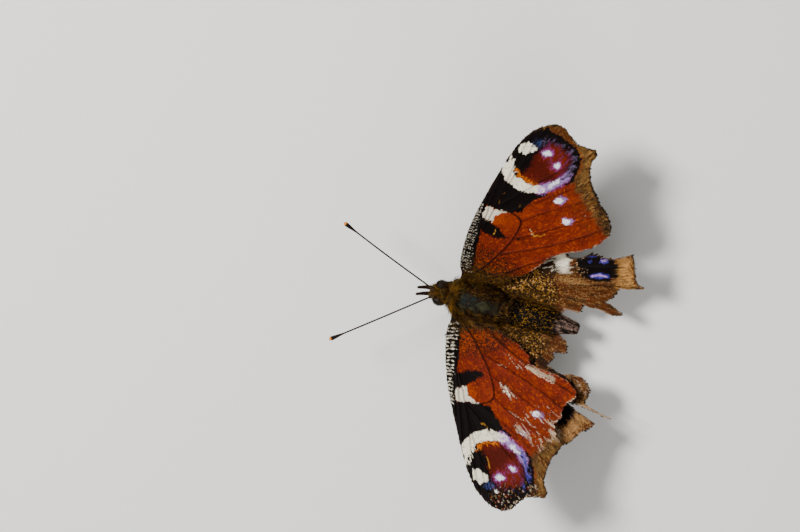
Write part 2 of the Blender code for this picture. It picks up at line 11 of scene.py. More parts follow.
import bpy
import numpy as np
from bpy.props import FloatProperty, FloatVectorProperty, IntProperty, PointerProperty
from mathutils import Matrix, Vector
from mathutils.geometry import delaunay_2d_cdt


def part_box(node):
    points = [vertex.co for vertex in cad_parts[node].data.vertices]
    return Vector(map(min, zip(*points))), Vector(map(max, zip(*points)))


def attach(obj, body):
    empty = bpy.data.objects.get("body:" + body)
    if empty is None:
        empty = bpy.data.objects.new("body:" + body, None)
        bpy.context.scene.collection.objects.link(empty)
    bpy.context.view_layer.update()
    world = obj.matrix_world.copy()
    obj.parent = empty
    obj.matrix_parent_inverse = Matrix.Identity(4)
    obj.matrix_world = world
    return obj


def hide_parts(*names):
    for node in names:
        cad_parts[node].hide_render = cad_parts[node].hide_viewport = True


bl_info = {
    "name": "Peacock Butterfly",
    "version": (1, 0, 0),
    "blender": (4, 5, 0),
    "location": "View3D > Sidebar > Butterfly",
    "description": "Builds a life-size peacock butterfly with scaled wings over its solid frame",
    "category": "Add Mesh",
}

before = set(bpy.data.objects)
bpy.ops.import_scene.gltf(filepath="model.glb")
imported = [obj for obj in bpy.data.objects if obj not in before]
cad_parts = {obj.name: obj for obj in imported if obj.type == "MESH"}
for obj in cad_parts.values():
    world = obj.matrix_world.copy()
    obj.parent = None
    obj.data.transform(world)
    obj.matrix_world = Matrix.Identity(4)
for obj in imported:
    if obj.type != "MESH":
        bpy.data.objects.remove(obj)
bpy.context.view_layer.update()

MM = 0.001
THORAX_FRONT = -4.35

# The thorax centre from the frame: its box is centred on x and z, and its front is known.
THORAX_LOW, THORAX_HIGH = (np.array(corner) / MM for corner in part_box("thorax"))
CENTRE = (THORAX_LOW + THORAX_HIGH) / 2
CENTRE[1] = THORAX_LOW[1] - THORAX_FRONT

# The camera looks down on the butterfly from behind its right shoulder.
CAMERA_AIM = (-1.93, -12.47, 0.0)
CAMERA_BACK = (-0.22, 0.173, 0.96)
CAMERA_DISTANCE = 485.6
LENS = 100.0
SENSOR_WIDTH = 23.6
# How far the tail lies below the head in the picture, in degrees.
CAMERA_TAIL_DROP = 15.8

# The places and sizes of the two square lights, and the floor's size.
KEY_PLACE = (-110, -310, 400)
KEY_SIZE = 140
FILL_PLACE = (300, 260, 300)
FILL_SIZE = 400
FLOOR_SIZE = 3000

# The skin under the coat along Y: y, half width, half height, and height of the middle.
BODY_PROFILE = [
    (-7.0, 0.05, 0.05, 0.0), (-6.93, 0.42, 0.45, 0.0), (-6.7, 0.72, 0.8, 0.0),
    (-6.3, 0.92, 1.0, 0.05), (-5.7, 1.02, 1.1, 0.1), (-5.1, 0.95, 1.05, 0.1),
    (-4.7, 0.78, 0.86, 0.05), (-4.4, 0.72, 0.78, 0.0), (-4.1, 1.0, 1.0, 0.0),
    (-3.7, 1.45, 1.5, 0.05), (-3.1, 1.85, 1.95, 0.05), (-2.3, 2.15, 2.2, 0.0),
    (-1.2, 2.3, 2.3, 0.0), (0.2, 2.32, 2.3, 0.0), (1.4, 2.2, 2.15, 0.0),
    (2.6, 1.92, 1.9, -0.05), (3.4, 1.55, 1.6, -0.1), (3.9, 1.35, 1.4, -0.1),
    (4.4, 1.5, 1.5, -0.1), (5.2, 1.72, 1.68, -0.12), (6.6, 1.84, 1.78, -0.16),
    (8.4, 1.82, 1.76, -0.22), (10.2, 1.68, 1.6, -0.33), (11.8, 1.4, 1.34, -0.46),
    (13.0, 1.12, 1.08, -0.56), (13.8, 0.9, 0.86, -0.62), (14.3, 0.66, 0.62, -0.67),
    (14.5, 0.05, 0.05, -0.7),
]
NECK_Y = -4.5
HEAD_TURN = 0.14
ABDOMEN_FRONT = 4.3
ABDOMEN_BACK = 14.2
ABDOMEN_RINGS = 7
EYE_RADIUS = (0.72, 0.92, 1.0)
EYE_PLACE = (1.12, -5.75, 0.25)

# Wing hinges and the angles that pose them, in degrees.
HINGES = {
    "forewing_left": (2.84, -2.79, 0.6), "forewing_right": (-3.24, -2.79, 0.6),
    "hindwing_left": (2.7, 0.3, -0.4), "hindwing_right": (-3.1, 0.3, -0.4),
}
RISE = {"forewing": 17.0, "hindwing": 13.5}
SWEEP = {"forewing_left": 29.7, "forewing_right": 17.6, "hindwing_left": 69.5, "hindwing_right": 75.4}
# The arch of a wing: its height half way out, and how far out it comes down again.
WING_ARCH = 0.45
ARCH_REACH = 27.0
# The scales fan out from a point near each hinge.
FAN = {"forewing": (-5.0, 2.5), "hindwing": (-2.0, -0.5)}

# The wings' outlines: front edge, outer margin, torn edge and rear or inner edge.
FOREWING_COSTA = [
    (-1.6, 0.3), (0.2, 0.75), (1.2, 1.5), (2.8, 2.1), (5.0, 2.65), (7.6, 3.1), (10.5, 3.35),
    (14.5, 3.45), (18.5, 3.45), (21.5, 3.3), (24.0, 2.9), (26.0, 2.1), (27.4, 1.1), (28.3, -0.1),
]
FOREWING_MARGIN = [
    (28.5, -1.1), (27.8, -2.6), (27.3, -4.0), (27.6, -5.2), (28.0, -6.4), (27.2, -6.9),
    (26.0, -6.8), (24.8, -7.3), (23.7, -8.0), (22.7, -8.8), (22.0, -9.9), (21.2, -10.8),
    (20.7, -12.0), (19.9, -12.9),
]
# How many of the margin's points are left on each worn forewing, and how deep the random bites go.
FOREWING_KEPT_MARGIN = {"left": 11, "right": 14}
MARGIN_FRAY = {"left": 0.1, "right": 0.05}
TEAR_FRAY = {"forewing": 0.07, "hindwing": 0.045}
FOREWING_TORN = {
    "left": [
        (21.2, -10.7), (20.2, -10.0), (18.3, -10.2), (17.9, -10.7), (17.6, -11.3),
        (16.3, -12.0), (15.8, -12.7), (15.6, -13.5), (15.2, -14.1), (14.3, -14.3),
        (12.6, -13.3), (11.5, -12.1), (10.7, -10.7), (9.8, -9.6), (9.1, -8.6), (7.9, -8.9),
        (6.2, -8.0),
    ],
    "right": [
        (19.4, -13.6), (18.5, -14.1), (17.8, -14.3), (17.3, -14.1), (15.4, -13.5),
        (14.6, -13.0), (13.3, -12.0), (12.3, -10.9), (11.3, -9.8), (10.0, -8.8), (8.9, -8.5),
        (7.4, -8.0), (6.1, -7.4),
    ],
}
FOREWING_DORSUM = [(4.9, -6.9), (1.8, -4.2), (0.4, -2.2), (-1.6, -1.2)]
HINDWING_COSTA = [
    (-1.9, -1.0), (-1.6, 1.0), (-0.4, 3.3), (1.8, 6.2), (4.8, 9.0), (8.4, 10.9), (10.2, 11.2),
    (13.2, 11.4), (16.2, 10.8), (18.2, 9.9),
]
# How much of the front edge is left, and how many points of the torn edge still have the tan margin.
HINDWING_KEPT_COSTA = {"left": 10, "right": 7}
HINDWING_TAN_POINTS = {"left": 8, "right": 14}
HINDWING_TORN = {
    "left": [
        (19.0, 9.2), (20.0, 7.6), (21.0, 6.0), (21.1, 5.0), (21.3, 4.0), (21.9, 3.0),
        (22.2, 1.9), (19.2, 2.0), (17.5, 1.8), (19.0, 1.05), (20.6, 0.72), (22.2, 0.5),
        (23.8, 0.1), (23.7, -0.06), (22.2, 0.26), (20.6, 0.46), (19.2, 0.5), (19.2, -0.2),
        (19.1, -1.0), (18.6, -1.7), (17.8, -2.1), (16.7, -2.3), (15.5, -1.8), (14.3, -1.0),
        (13.4, -0.8), (11.8, -0.8), (11.9, -2.1), (11.4, -2.7), (12.9, -3.7), (12.6, -4.3),
        (12.0, -5.1),
    ],
    "right": [
        (10.4, 8.5), (10.9, 5.8), (12.3, 4.3), (13.1, 4.2), (14.2, 4.4), (15.5, 5.1),
        (16.5, 4.8), (17.4, 4.4), (18.8, 4.3), (20.4, 4.8), (21.4, 5.1), (21.6, 2.5),
        (21.6, 1.3), (21.9, 0.5), (22.7, 0.2), (22.7, -0.1), (20.6, -0.25), (19.2, -0.2),
        (18.8, -1.0), (18.1, -1.7), (17.0, -2.4), (17.8, -2.7), (18.5, -3.4), (19.3, -4.0),
        (19.3, -4.5), (18.0, -4.5), (16.8, -3.9), (16.0, -3.5), (14.8, -3.4), (13.7, -2.9),
        (13.6, -3.6), (13.2, -4.3), (12.1, -4.0), (11.3, -3.8), (10.6, -4.6),
    ],
}
HINDWING_INNER = [(9.8, -5.4), (6.0, -5.4), (2.0, -4.6), (-1.9, -3.4)]

VEINS = {
    "forewing": {
        "Sc": [(0.5, 1.0), (4.0, 1.9), (9.0, 2.6), (13.6, 3.2)],
        "R1": [(5.0, 1.35), (10.0, 2.0), (17.8, 3.2)],
        "R": [(0.4, 0.2), (5.0, 1.3), (10.0, 1.45), (14.0, 1.6), (20.0, 1.3), (28.0, -0.9)],
        "R3": [(14.0, 1.6), (19.0, 2.2), (24.6, 2.4)],
        "R4": [(20.0, 1.3), (24.0, 1.4), (27.2, 1.0)],
        "M1": [(12.4, 1.5), (14.4, 0.4), (20.0, -2.2), (27.6, -6.3)],
        "M2": [(12.4, 1.5), (13.0, -0.5), (18.0, -4.1), (23.4, -7.9)],
        "Cu": [(0.4, -0.5), (3.0, -1.5), (6.0, -2.3), (9.4, -2.9), (12.6, -2.6), (13.0, -0.5)],
        "M3": [(12.6, -2.6), (16.0, -5.0), (21.7, -9.8)],
        "CuA1": [(9.4, -2.9), (14.0, -6.8), (20.4, -11.8)],
        "CuA2": [(6.0, -2.3), (9.0, -5.4), (13.4, -9.4), (19.1, -13.7)],
        "2A": [(0.2, -1.2), (3.2, -4.0), (7.4, -6.9), (12.2, -11.3), (17.1, -16.0)],
    },
    "hindwing": {
        "Sc": [(0.6, 0.8), (2.4, 4.6), (6.0, 8.4), (12.6, 11.0)],
        "Rs": [(1.6, 1.4), (6.0, 5.6), (11.0, 8.0), (18.7, 9.0)],
        "M1": [(5.0, 4.8), (9.0, 4.9), (14.0, 5.9), (20.6, 6.2)],
        "M2": [(5.0, 4.8), (8.4, 3.0), (14.0, 3.0), (21.4, 3.3)],
        "M3": [(0.4, -0.2), (5.0, 0.0), (9.0, 0.1), (15.0, 0.3), (18.6, 0.7), (22.2, 0.38)],
        "CuA1": [(5.0, 0.0), (10.0, -1.4), (15.0, -2.7), (19.0, -4.3)],
        "CuA2": [(2.4, -0.8), (8.0, -2.7), (13.0, -4.6)],
        "2A": [(0.0, -1.4), (5.0, -3.0), (10.0, -4.4)],
    },
}
# The veins that show as darker lines than the others, and how all of them stand out of the pleats.
VEIN_DARKNESS = {"Cu": 1.0, "2A": 0.7, "CuA2": 0.6}
VEIN_WIDTH = 0.13
VEIN_RISE = 0.12
PLEAT_DEPTH = 0.1
# How close the membrane's points lie on its outline, along its veins and between them.
EDGE_PITCH = 0.09
RIB_PITCH = 0.1
MEMBRANE_PITCH = 0.36
# The worn hole in the left forewing's tip: x, y, half length, half width and tilt.
HOLE = (25.5, 0.05, 0.55, 0.26, -22.0)
# How high a scale's free end stands over the wing.
SCALE_LIFT = 0.045

# The painter's streaks side by side in a radian, the sway of its edges, how hard the edges of marks
# and flecks are, and the cells after which the grain repeats.
STREAKS_PER_RADIAN = 140
EDGE_SWAY = 0.25
MOSAIC_CONTRAST = 3
FLECK_CONTRAST = 8
GRAIN_CELLS = 128

# The pattern's shapes, in each wing's flat coordinates: closed outlines, and paths for the strokes.
# A spot is an oval's x, y, half length, half width and tilt.
FOREWING_MARKS = SimpleNamespace(
    first_glow=[(10.0, 0.8), (11.8, 0.6), (12.3, -0.1), (11.3, -0.2), (10.1, 0.2)],
    wide_glow=[(9.8, 0.9), (12.4, 0.2), (13.2, -1.4), (11.8, -1.8), (10.2, -1.4)],
    shaded_rear=[(18, -7), (21.5, -6), (20, -9), (17.5, -13.5), (15.5, -12.0)],
    outer_margin=[
        (22.4, -5.6), (21.2, -7.2), (19.6, -9.8), (18.6, -12), (17.4, -14.4), (19.5, -15.5),
        (31, -8), (29.6, 0.6), (27.3, 0.4), (27.1, -2.0), (26.8, -4.2), (25.8, -5.6), (24.0, -5.9),
    ],
    tip_corner=[(26.9, 1.6), (30, 1.6), (30, -4.2), (26.9, -4.2)],
    rear_corner=[(18.2, -11.8), (21.4, -10.4), (22, -12), (19.4, -15), (17.2, -14.5)],
    base=[
        (-2, 2), (0.6, 1.4), (2.2, 0.3), (2.6, -1.6), (3.2, -3.2), (4.0, -5.4), (6.4, -8.6),
        (3.0, -9), (-2, -4),
    ],
    root=[(-3, 3), (0.2, 2.5), (0.6, 0.2), (0.6, -3.5), (-3, -4)],
    base_glow=[
        (1.8, 0.4), (4.8, 1.3), (5.4, 0.0), (4.8, -2.2), (4.4, -5.4), (3.0, -4.0), (2.2, -1.2),
    ],
    base_shade=[(1.6, 0.6), (5.4, 1.4), (6.4, -2.2), (6.0, -6.4), (4.0, -7.0), (2.2, -1.2)],
    costal_band=[
        (-1, 1.4), (0.2, -0.2), (1.4, -0.35), (4.0, 0.45), (8.0, 1.6), (9.6, 2.2), (12.2, 2.6),
        (12.2, 4), (0, 3),
    ],
    dark_patch=[
        (7.9, 2.4), (10.0, 2.6), (9.9, 1.0), (9.7, -0.2), (9.3, -1.2), (8.9, -2.3), (8.2, -1.4),
        (7.8, 0),
    ],
    first_patch=[
        (10.0, 2.45), (11.8, 2.45), (12.1, 1.2), (12.5, 0.3), (13.2, -0.9), (12.4, -0.1),
        (11.8, 0.55), (11.0, 0.85), (10.0, 0.75),
    ],
    broad_patch=[
        (11.85, 3.9), (11.95, 2.3), (12.4, 0.6), (13.0, -0.8), (13.8, -2.0), (15.5, -2.3),
        (17.0, -3.0), (18.3, -3.9), (19.0, -3.0), (18, 0), (18.4, 2.5), (19, 3.9),
    ],
    eyespot=[
        (17.9, 3.9), (17.0, 2.4), (16.6, 1.0), (16.5, 0), (16.9, -1.3), (17.5, -2.4), (18.4, -3.5),
        (19.6, -4.4), (21.3, -5.3), (22.3, -5.75), (24, -5.65), (25.8, -5.2), (26.6, -4),
        (26.95, -2), (27.0, 0.5), (28.4, 0.8), (26.6, 3), (24, 3.9),
    ],
    wine_field=[
        (18.6, 0.8), (20.2, 0.3), (22.2, 0.4), (23.4, 0.1), (25.2, -0.4), (25.8, -1.6),
        (25.7, -3.2), (24.9, -4.2), (23.4, -4.5), (21.4, -4.2), (19.8, -3.3), (18.6, -2.2),
        (18.2, -0.4),
    ],
    wine_edge=[(19.4, 0.6), (19.1, -0.4), (19.4, -1.6)],
    outer_red=[
        (22.6, 0.2), (25.0, -0.6), (25.4, -2.2), (24.8, -3.9), (23.4, -4.2), (21.6, -3.8),
        (21.4, -2.9), (22.4, -1.8),
    ],
    magenta_dust=[(23.2, 0.4), (26.2, 0), (26.3, -3.4), (24.6, -4.6), (21.0, -4.2), (22.2, -2.4)],
    upper_black=[(18.7, 3.2), (22.2, 2.9), (22.0, 1.1), (21.0, 0.2), (19.2, 0.7), (18.4, 2.2)],
    violet_rim=[
        (18.2, -2.2), (18.9, -3.05), (19.9, -3.85), (21.0, -4.45), (22.4, -4.95), (24.2, -5.0),
    ],
    rim_corner=[(24.2, -4.9), (25.4, -4.5), (26.1, -3.6), (26.2, -2.4)],
    rim_light=[(19.7, -3.55), (20.9, -4.15)],
    arc=[
        (17.9, 3.35), (17.1, 2.4), (16.65, 1.0), (16.6, 0), (16.95, -1.3), (17.6, -2.4),
        (18.4, -3.3), (19.0, -3.3), (18.9, -2.2), (18.5, -1.7), (18.25, -1), (18.15, 0),
        (18.3, 1.2), (18.9, 2.1), (20.1, 2.9), (19.4, 3.35),
    ],
    arc_fringe=[(19.1, 1.5), (18.6, 0.8), (18.45, 0), (18.55, -1.0), (18.9, -1.8)],
    arc_lilac=[(18.4, -2.0), (18.8, -2.2), (19.6, -3.6), (18.2, -3.4), (17.5, -2.4)],
    arc_top=[(18.6, 1.4), (18.3, 3.4), (20.6, 3.4), (20.4, 2.6), (19.2, 1.9)],
    second_patch=[
        (21.7, 2.65), (23.1, 2.75), (23.8, 2.1), (23.95, 0.95), (23.3, 0.55), (22.5, 1.15),
        (21.9, 1.8),
    ],
    blue_dust=[(23.6, 1.6), (24.3, 1.7), (25.0, 0.8), (25.1, 0.2), (24.4, 0.0), (23.7, 0.7)],
    dull_dust=[(24.0, 0.9), (26.4, 0.4), (26.7, -3.6), (25.6, -4.2), (25.4, -1.2)],
    black_rim=[
        (27.0, 1.2), (26.95, -1.8), (26.65, -3.9), (25.9, -5.2), (24.1, -5.65), (22.2, -5.75),
        (21.2, -5.35),
    ],
    haloed_spots=[(23.75, -0.9, 0.62, 0.4, -62), (22.95, -2.95, 0.56, 0.38, -30)],
    plain_spots=[(16.2, -8.0, 0.62, 0.46, -60), (18.35, -5.6, 0.72, 0.44, -38)],
    tip_edge=[(24.4, 3.0), (26.2, 2.1), (27.8, 0.9), (28.4, -0.4)],
    tip_flecks=[(26.6, 1.9), (27.6, 0.9), (28.3, -0.4)],
    worn_tip=[
        (25.2, 2.8), (27.2, 2.0), (29, 0.4), (29, -1.4), (27.6, -4.6), (26.4, -4.8), (26.4, -2),
        (26.0, 0.2),
    ],
    frayed_rim=[
        (26.2, 1.6), (28.6, 0.6), (29.5, -1.4), (28, -6), (25.4, -5.6), (25.6, -3.6), (25.2, -1.2),
        (25.3, 0.4),
    ],
    scratched_field=[(16.5, -4.2), (21.5, -7.2), (20.6, -9.8), (17.6, -10.2), (14.5, -8.2)],
    scratched_base=[(6.6, -5.4), (9.0, -6.6), (9.8, -8.2), (8.4, -7.6)],
    rubbed_strip=[(9.5, -8.3), (10.7, -9.9), (12.0, -11.5)],
    strip_edge=[(9.3, -7.9), (11.0, -9.6), (12.6, -11.4)],
    scratched_rear=[(17.4, -9.4), (20.4, -9.2), (20.6, -10.6), (17.8, -10.6)],
    rub=(12.1, -4.75, 1.7, 0.42, -30),
    rub_middle=(12.1, -4.75, 1.5, 0.3, -30),
    bare_rub=(12.1, -4.75, 1.5, 0.4, -30),
    outer_rub=(18.0, -5.3, 1.3, 0.55, -32),
    bare_strip=[(9.6, -8.5), (12.1, -11.6)],
    scratches=[
        [(8.0, -4.3), (8.7, -5.3)], [(16.0, -5.4), (18.2, -7.6)], [(14.8, -4.2), (16.6, -5.8)],
        [(17.0, -8.6), (18.6, -10.0)], [(15.4, -9.6), (17.6, -11.2)],
    ],
    golden_scratches=[[(20.4, 0.25), (21.0, 0.12), (22.2, 0.15)], [(15.6, -0.2), (16.4, -0.8)]],
    torn_edge=[(15.2, -14.1), (15.8, -12.7), (17.6, -11.3), (18.3, -10.2)],
    sooty_spot=(9.9, -3.6, 0.34, 0.24, 0),
    golden_tick=[(8.3, -0.2), (8.6, -0.35), (9.1, -0.25)],
    hook_light=[(12.0, -4.3), (11.7, -4.9)],
    hook=[(12.1, -4.4), (11.6, -5.3), (12.1, -6.0), (12.8, -6.5)],
    margin_hook=[(18.5, -9.9), (18.4, -9.5), (18.8, -9.2), (19.3, -9.3)],
    nicks=[[(13.2, 1.3), (13.8, 1.5)], [(14.8, 1.6), (15.1, 1.2)], [(14.4, -1.4), (14.8, -1.3)]],
)
HINDWING_MARKS = SimpleNamespace(
    base=[
        (-2, 4), (3, 5.5), (8, 3.6), (9.4, 1.6), (10.4, -0.3), (9.6, -3.2), (6, -4.2), (-2, -2.6),
    ],
    base_edge=[(9.4, 0.4), (11.8, 0.0), (12.4, -1.8), (10.2, -3.4)],
    tan_patch=[(10.4, 1.6), (13.5, 1.1), (15.0, 0.5), (14.8, -0.1), (12.0, 0.1), (10.2, 0.7)],
    pale_patch=[
        (10.2, 3.0), (10.1, 4.8), (11.1, 5.2), (12.0, 4.6), (12.1, 2.8), (11.7, 2.0), (10.8, 2.1),
    ],
    patch_shade=[(7.2, 3.8), (10.0, 4.2), (10.6, 2.8), (10.2, 1.6), (8.0, 1.4)],
    patch_streaks=[(7.6, 4.4), (10.4, 4.8), (10.6, 2.2), (8.0, 1.9)],
    eyespot=[
        (13.0, 3.0), (13.4, 4.3), (15.0, 5.3), (17.0, 5.3), (18.6, 4.8), (19.2, 3.3), (18.9, 1.8),
        (17.6, 0.9), (15.4, 0.8), (14.0, 1.6),
    ],
    blue_bar=[(14.9, 1.75), (16.0, 2.15), (17.6, 2.1), (18.0, 1.6), (17.0, 1.25), (15.4, 1.3)],
    blue_spots=[(17.1, 4.0, 0.65, 0.36, 8), (15.2, 3.75, 0.3, 0.24, 8), (15.6, 4.7, 0.8, 0.3, 8)],
    lilac_spot=(17.1, 4.05, 0.42, 0.18, 8),
    lilac_bar=[(15.3, 1.65), (16.4, 1.8), (17.4, 1.65)],
    tan_margin=[
        (19.0, -0.1), (19.1, 2.0), (19.5, 4.2), (18.8, 6.5), (17.6, 9.0), (17.6, 12), (26, 12),
        (26, -0.1),
    ],
    margin_rim=[(21.2, -1), (21.1, 2.5), (20.7, 6), (18.9, 9.6), (24, 12), (26, -1)],
    long_vein=[(12, 0.15), (19, 0.2), (22.7, 0.0)],
    lobe_edge=[(19.0, -0.6), (18.1, -1.7), (17.0, -2.4), (18.5, -3.4), (19.3, -4.4)],
    tail_edge=[(17.4, 1.7), (19.0, 0.95), (21, 0.62), (23.8, 0.12)],
    costal_wear=[(17.2, 5.4), (19.6, 5.6), (19.2, 7.0), (17.0, 6.6)],
    lobe_wear=[(15.8, -0.4), (19.0, -0.4), (18.6, -2.0), (16.4, -2.2)],
    # painted shadow: a dark strip where the left forewing's rear edge shades the hindwing
    forewing_shadow=[(10, -0.2), (16.6, -0.2), (16.4, -1.1), (10, -1.3)],
)

# Which way each side lies along X, then the eyes, feelers, palps and tongue.
SIGN = {"left": 1.0, "right": -1.0}
EYE_BRISTLES = 2200
ANTENNA_BASE = (0.5, -6.75, 0.95)
ANTENNA_TIPS = {"left": (10.4, -19.3, 3.9), "right": (-6.7, -21.1, 3.9)}
ANTENNA_SAG = 0.3
ANTENNA_JOINTS = 42
CLUB_LENGTH = 2.6
PALP_ROOT = (0.42, -6.6, -0.65)
PALP_TIP = (0.5, -8.9, 0.75)
PALP_HAIRS = 1500
TONGUE_CENTRE = (0.0, -6.0, -2.35)
TONGUE_COIL = (0.85, 0.38)
TONGUE_TURNS = 1.3
TONGUE_RINGS = 40

# Legs and brush feet.
LIMB_SIDES = 14
LEG_HAIRS = 620
BRUSH_HAIRS = 900
# Legs on the left, each from hip to knee, ankle, heel and toe; the right ones mirror them.
LEG_JOINTS = {
    "midleg": [
        (1.7, -0.9, -1.9), (4.5, -1.7, -0.9), (6.0, -2.5, -3.9), (6.5, -3.1, -5.0), (7.1, -4.4, -5.0),
    ],
    "hindleg": [
        (1.6, 1.9, -1.8), (4.0, 4.4, -1.1), (5.4, 8.0, -3.9), (5.9, 9.3, -5.0), (6.4, 11.4, -5.0),
    ],
}
FOOT_RISE = 0.16
FOOT_JOINTS = 5
SPINE_PITCH = 0.34
FLOOR_Z = -5.0
FORELEG_PATH = [(1.25, -2.6, -2.4), (1.15, -3.9, -3.25), (0.95, -5.2, -2.9), (0.8, -6.0, -2.2)]

PAINT = "paint"
# The bake map: the size of a scale's or hair's patch on it, its free edge, and the wing it spans.
BAKE_MAP = "OFBake"
PATCH = 0.003
MAP_EDGE = 0.01
WING_MAP_SPAN = 31.0
FACET_WIDTH = 0.06


def linear(hex_colour):
    """An sRGB hex colour as linear red, green and blue."""
    values = [int(hex_colour[k:k + 2], 16) / 255 for k in (1, 3, 5)]
    return tuple(v / 12.92 if v <= 0.04045 else ((v + 0.055) / 1.055) ** 2.4 for v in values)


def colour(name, hex_colour, description):
    """A colour property with its default from an sRGB hex colour."""
    return FloatVectorProperty(
        name=name, description=description, default=linear(hex_colour),
        subtype="COLOR", size=3, min=0, max=1,
    )


def length(name, millimetres, description):
    """A length property with its default in millimetres."""
    return FloatProperty(
        name=name, description=description, default=millimetres * MM, unit="LENGTH", precision=5, min=0,
    )


def hair_count(name, description, default):
    """A property that holds a number of tufts."""
    return IntProperty(name=name, description=description, default=default, min=0)


def power(name, description, default):
    """A property that holds the strength of a light."""
    return FloatProperty(name=name, description=description, default=default, min=0)


class WingSettings(bpy.types.PropertyGroup):
    """Sizes and colours of the wings."""

    thickness: length("Membrane thickness", 0.07, "Thickness of the wing under its scales")
    scale_length: length("Scale length", 0.27, "Length of one wing scale")
    scale_width: length("Scale width", 0.14, "Width of one wing scale")
    row_pitch: length("Row pitch", 0.125, "Distance from one row of scales to the next")
    scale_pitch: length("Scale pitch", 0.115, "Distance from one scale to its neighbour in the row")
    under_pitch: length("Underside pitch", 0.17, "Distance between the scales below the wings")
    rust: colour("Rust", "#72210B", "The red ground of the wings")
    ember: colour("Ember", "#9B3B05", "The brighter ground near the dark patches")
    garnet: colour("Garnet", "#4D1608", "The darker red of the ground near the body")
    wine: colour("Wine", "#491106", "The red in the middle of the eyespots")
    black: colour("Black", "#0C0605", "The black patches")
    cream: colour("Cream", "#F6EAD0", "The pale arc and patches")
    white: colour("White", "#F6F2FA", "The middles of the light spots")
    lilac: colour("Lilac", "#9B79B3", "The halo of the light spots")
    magenta: colour("Magenta", "#702C56", "The outer halo of the light spots")
    dusk: colour("Dusk", "#53445E", "The dull violet-blue dust of the eyespots")
    blue: colour("Blue", "#37327F", "The structural blue of the eyespots")
    teal: colour("Teal", "#1C2C46", "The dull blue dust on the black")
    amber: colour("Amber", "#B55A05", "The yellow fringe inside the arc")
    gold: colour("Gold", "#986823", "The gold flecks near the body")
    tan: colour("Tan", "#73532E", "The brown outer margin")
    umber: colour("Umber", "#2A1B0E", "The dark edge of the margin")
    bark: colour("Bark", "#51290D", "The brown of the hind wing")
    soot: colour("Soot", "#1A1009", "The dark base of the wings")
    bare: colour("Bare membrane", "#AD947B", "Where the scales are rubbed off")
    under: colour("Underside", "#231A16", "The charred underside")
    under_pale: colour("Underside pale", "#4B4134", "The paler streaks of the underside")


class BodySettings(bpy.types.PropertyGroup):
    """Sizes and colours of the body and its coat."""

    thorax_hairs: hair_count("Thorax hairs", "Tufts of hair on the thorax", 15000)
    head_hairs: hair_count("Head hairs", "Tufts of hair on the head", 8000)
    abdomen_hairs: hair_count("Abdomen hairs", "Tufts on the abdomen", 16000)
    wing_hairs: hair_count("Wing hairs", "Tufts on each wing's base", 3200)
    hair_length: length("Hair length", 1.0, "Length of the longest hair, on the sides of the thorax")
    hair_width: length("Hair width", 0.052, "Width of a tuft of hair at its root")
    brown: colour("Brown", "#44290D", "The brown hair of the body")
    golden: colour("Golden", "#745113", "The golden hair and specks")
    dark: colour("Dark", "#0A0604", "The black of the abdomen and the head's spots")
    slate: colour("Slate", "#0B1410", "The blue-grey middle of the thorax")
    olive: colour("Olive", "#2B2A18", "The grey-green plate behind it")
    ash: colour("Ash", "#735B50", "The lilac-grey tip of the abdomen")
    eye: colour("Eye", "#1A110A", "The compound eyes")
    feeler: colour("Feeler", "#21150E", "The shaft of the antennae")
    feeler_ring: colour("Feeler ring", "#574431", "The pale ring at each joint of the antennae")
    club_tip: colour("Club tip", "#C17517", "The pale tip of each club")
    leg: colour("Leg", "#3F3221", "The legs")


class StudioSettings(bpy.types.PropertyGroup):
    """The floor and the lights."""

    floor: colour("Floor", "#EDEBE6", "The pale floor")
    key: power("Key light", "Power of the key light in watts", 4.3)
    fill: power("Fill light", "Power of the fill light in watts", 1.1)
    sky: power("Sky", "Strength of the even light from all round", 0.29)


def smooth_curve(points, step):
    """Points about step apart on a Catmull-Rom curve through the given ones, ends included."""
    points = np.array(points, float)
    ends = np.vstack([points[:1] * 2 - points[1:2], points, points[-1:] * 2 - points[-2:-1]])
    curve = []
    for before, start, end, after in zip(ends, ends[1:], ends[2:], ends[3:]):
        pieces = max(1, round(float(np.linalg.norm(end - start)) / step))
        t = (np.arange(pieces) / pieces)[:, None]
        curve.append(
            0.5 * (2 * start + (end - before) * t + (2 * before - 5 * start + 4 * end - after) * t**2
                   + (3 * start - before - 3 * end + after) * t**3)
        )
    return np.vstack(curve + [points[-1:]])


def straight_run(points, step):
    """Points about step apart on the straight lines between the given ones."""
    points = np.array(points, float)
    run = []
    for start, end in zip(points, points[1:]):
        pieces = max(1, round(float(np.linalg.norm(end - start)) / step))
        run.append(start + (end - start) * (np.arange(pieces) / pieces)[:, None])
    return np.vstack(run + [points[-1:]])


def frayed(run, rng, depth):
    """A torn edge: the run pushed in and out by broad and fine random bites."""
    count = len(run)
    stations = np.arange(0, count + 4, 4)
    bites = rng.normal(0, 1, count // 4 + 2)[:len(stations)]
    broad = np.interp(np.arange(count), stations, bites)
    push = (0.6 * broad + 0.5 * rng.normal(0, 1, count)) * depth
    push[[0, -1]] = 0
    across = left_of(unit(np.gradient(run, axis=0)))
    return run + across * np.clip(push, -2 * depth, 2 * depth)[:, None]


def oval(x, y, half_length, half_width, tilt):
    """A flat oval: its centre, half sizes and tilt in degrees."""
    turn = np.linspace(0, math.tau, 20, endpoint=False)
    tilt = math.radians(tilt)
    along, across = half_length * np.cos(turn), half_width * np.sin(turn)
    return np.stack([
        x + along * math.cos(tilt) - across * math.sin(tilt),
        y + along * math.sin(tilt) + across * math.cos(tilt),
    ], 1)


def distance_to(flat, path):
    """How far each flat point lies from an open path."""
    path = np.array(path, float)
    nearest = np.full(len(flat), np.inf)
    for a, b in zip(path, path[1:]):
        run = b - a
        t = ramp((flat - a) @ run / max(run @ run, 1e-12))
        nearest = np.minimum(nearest, np.hypot(*(flat - a - t[:, None] * run).T))
    return nearest


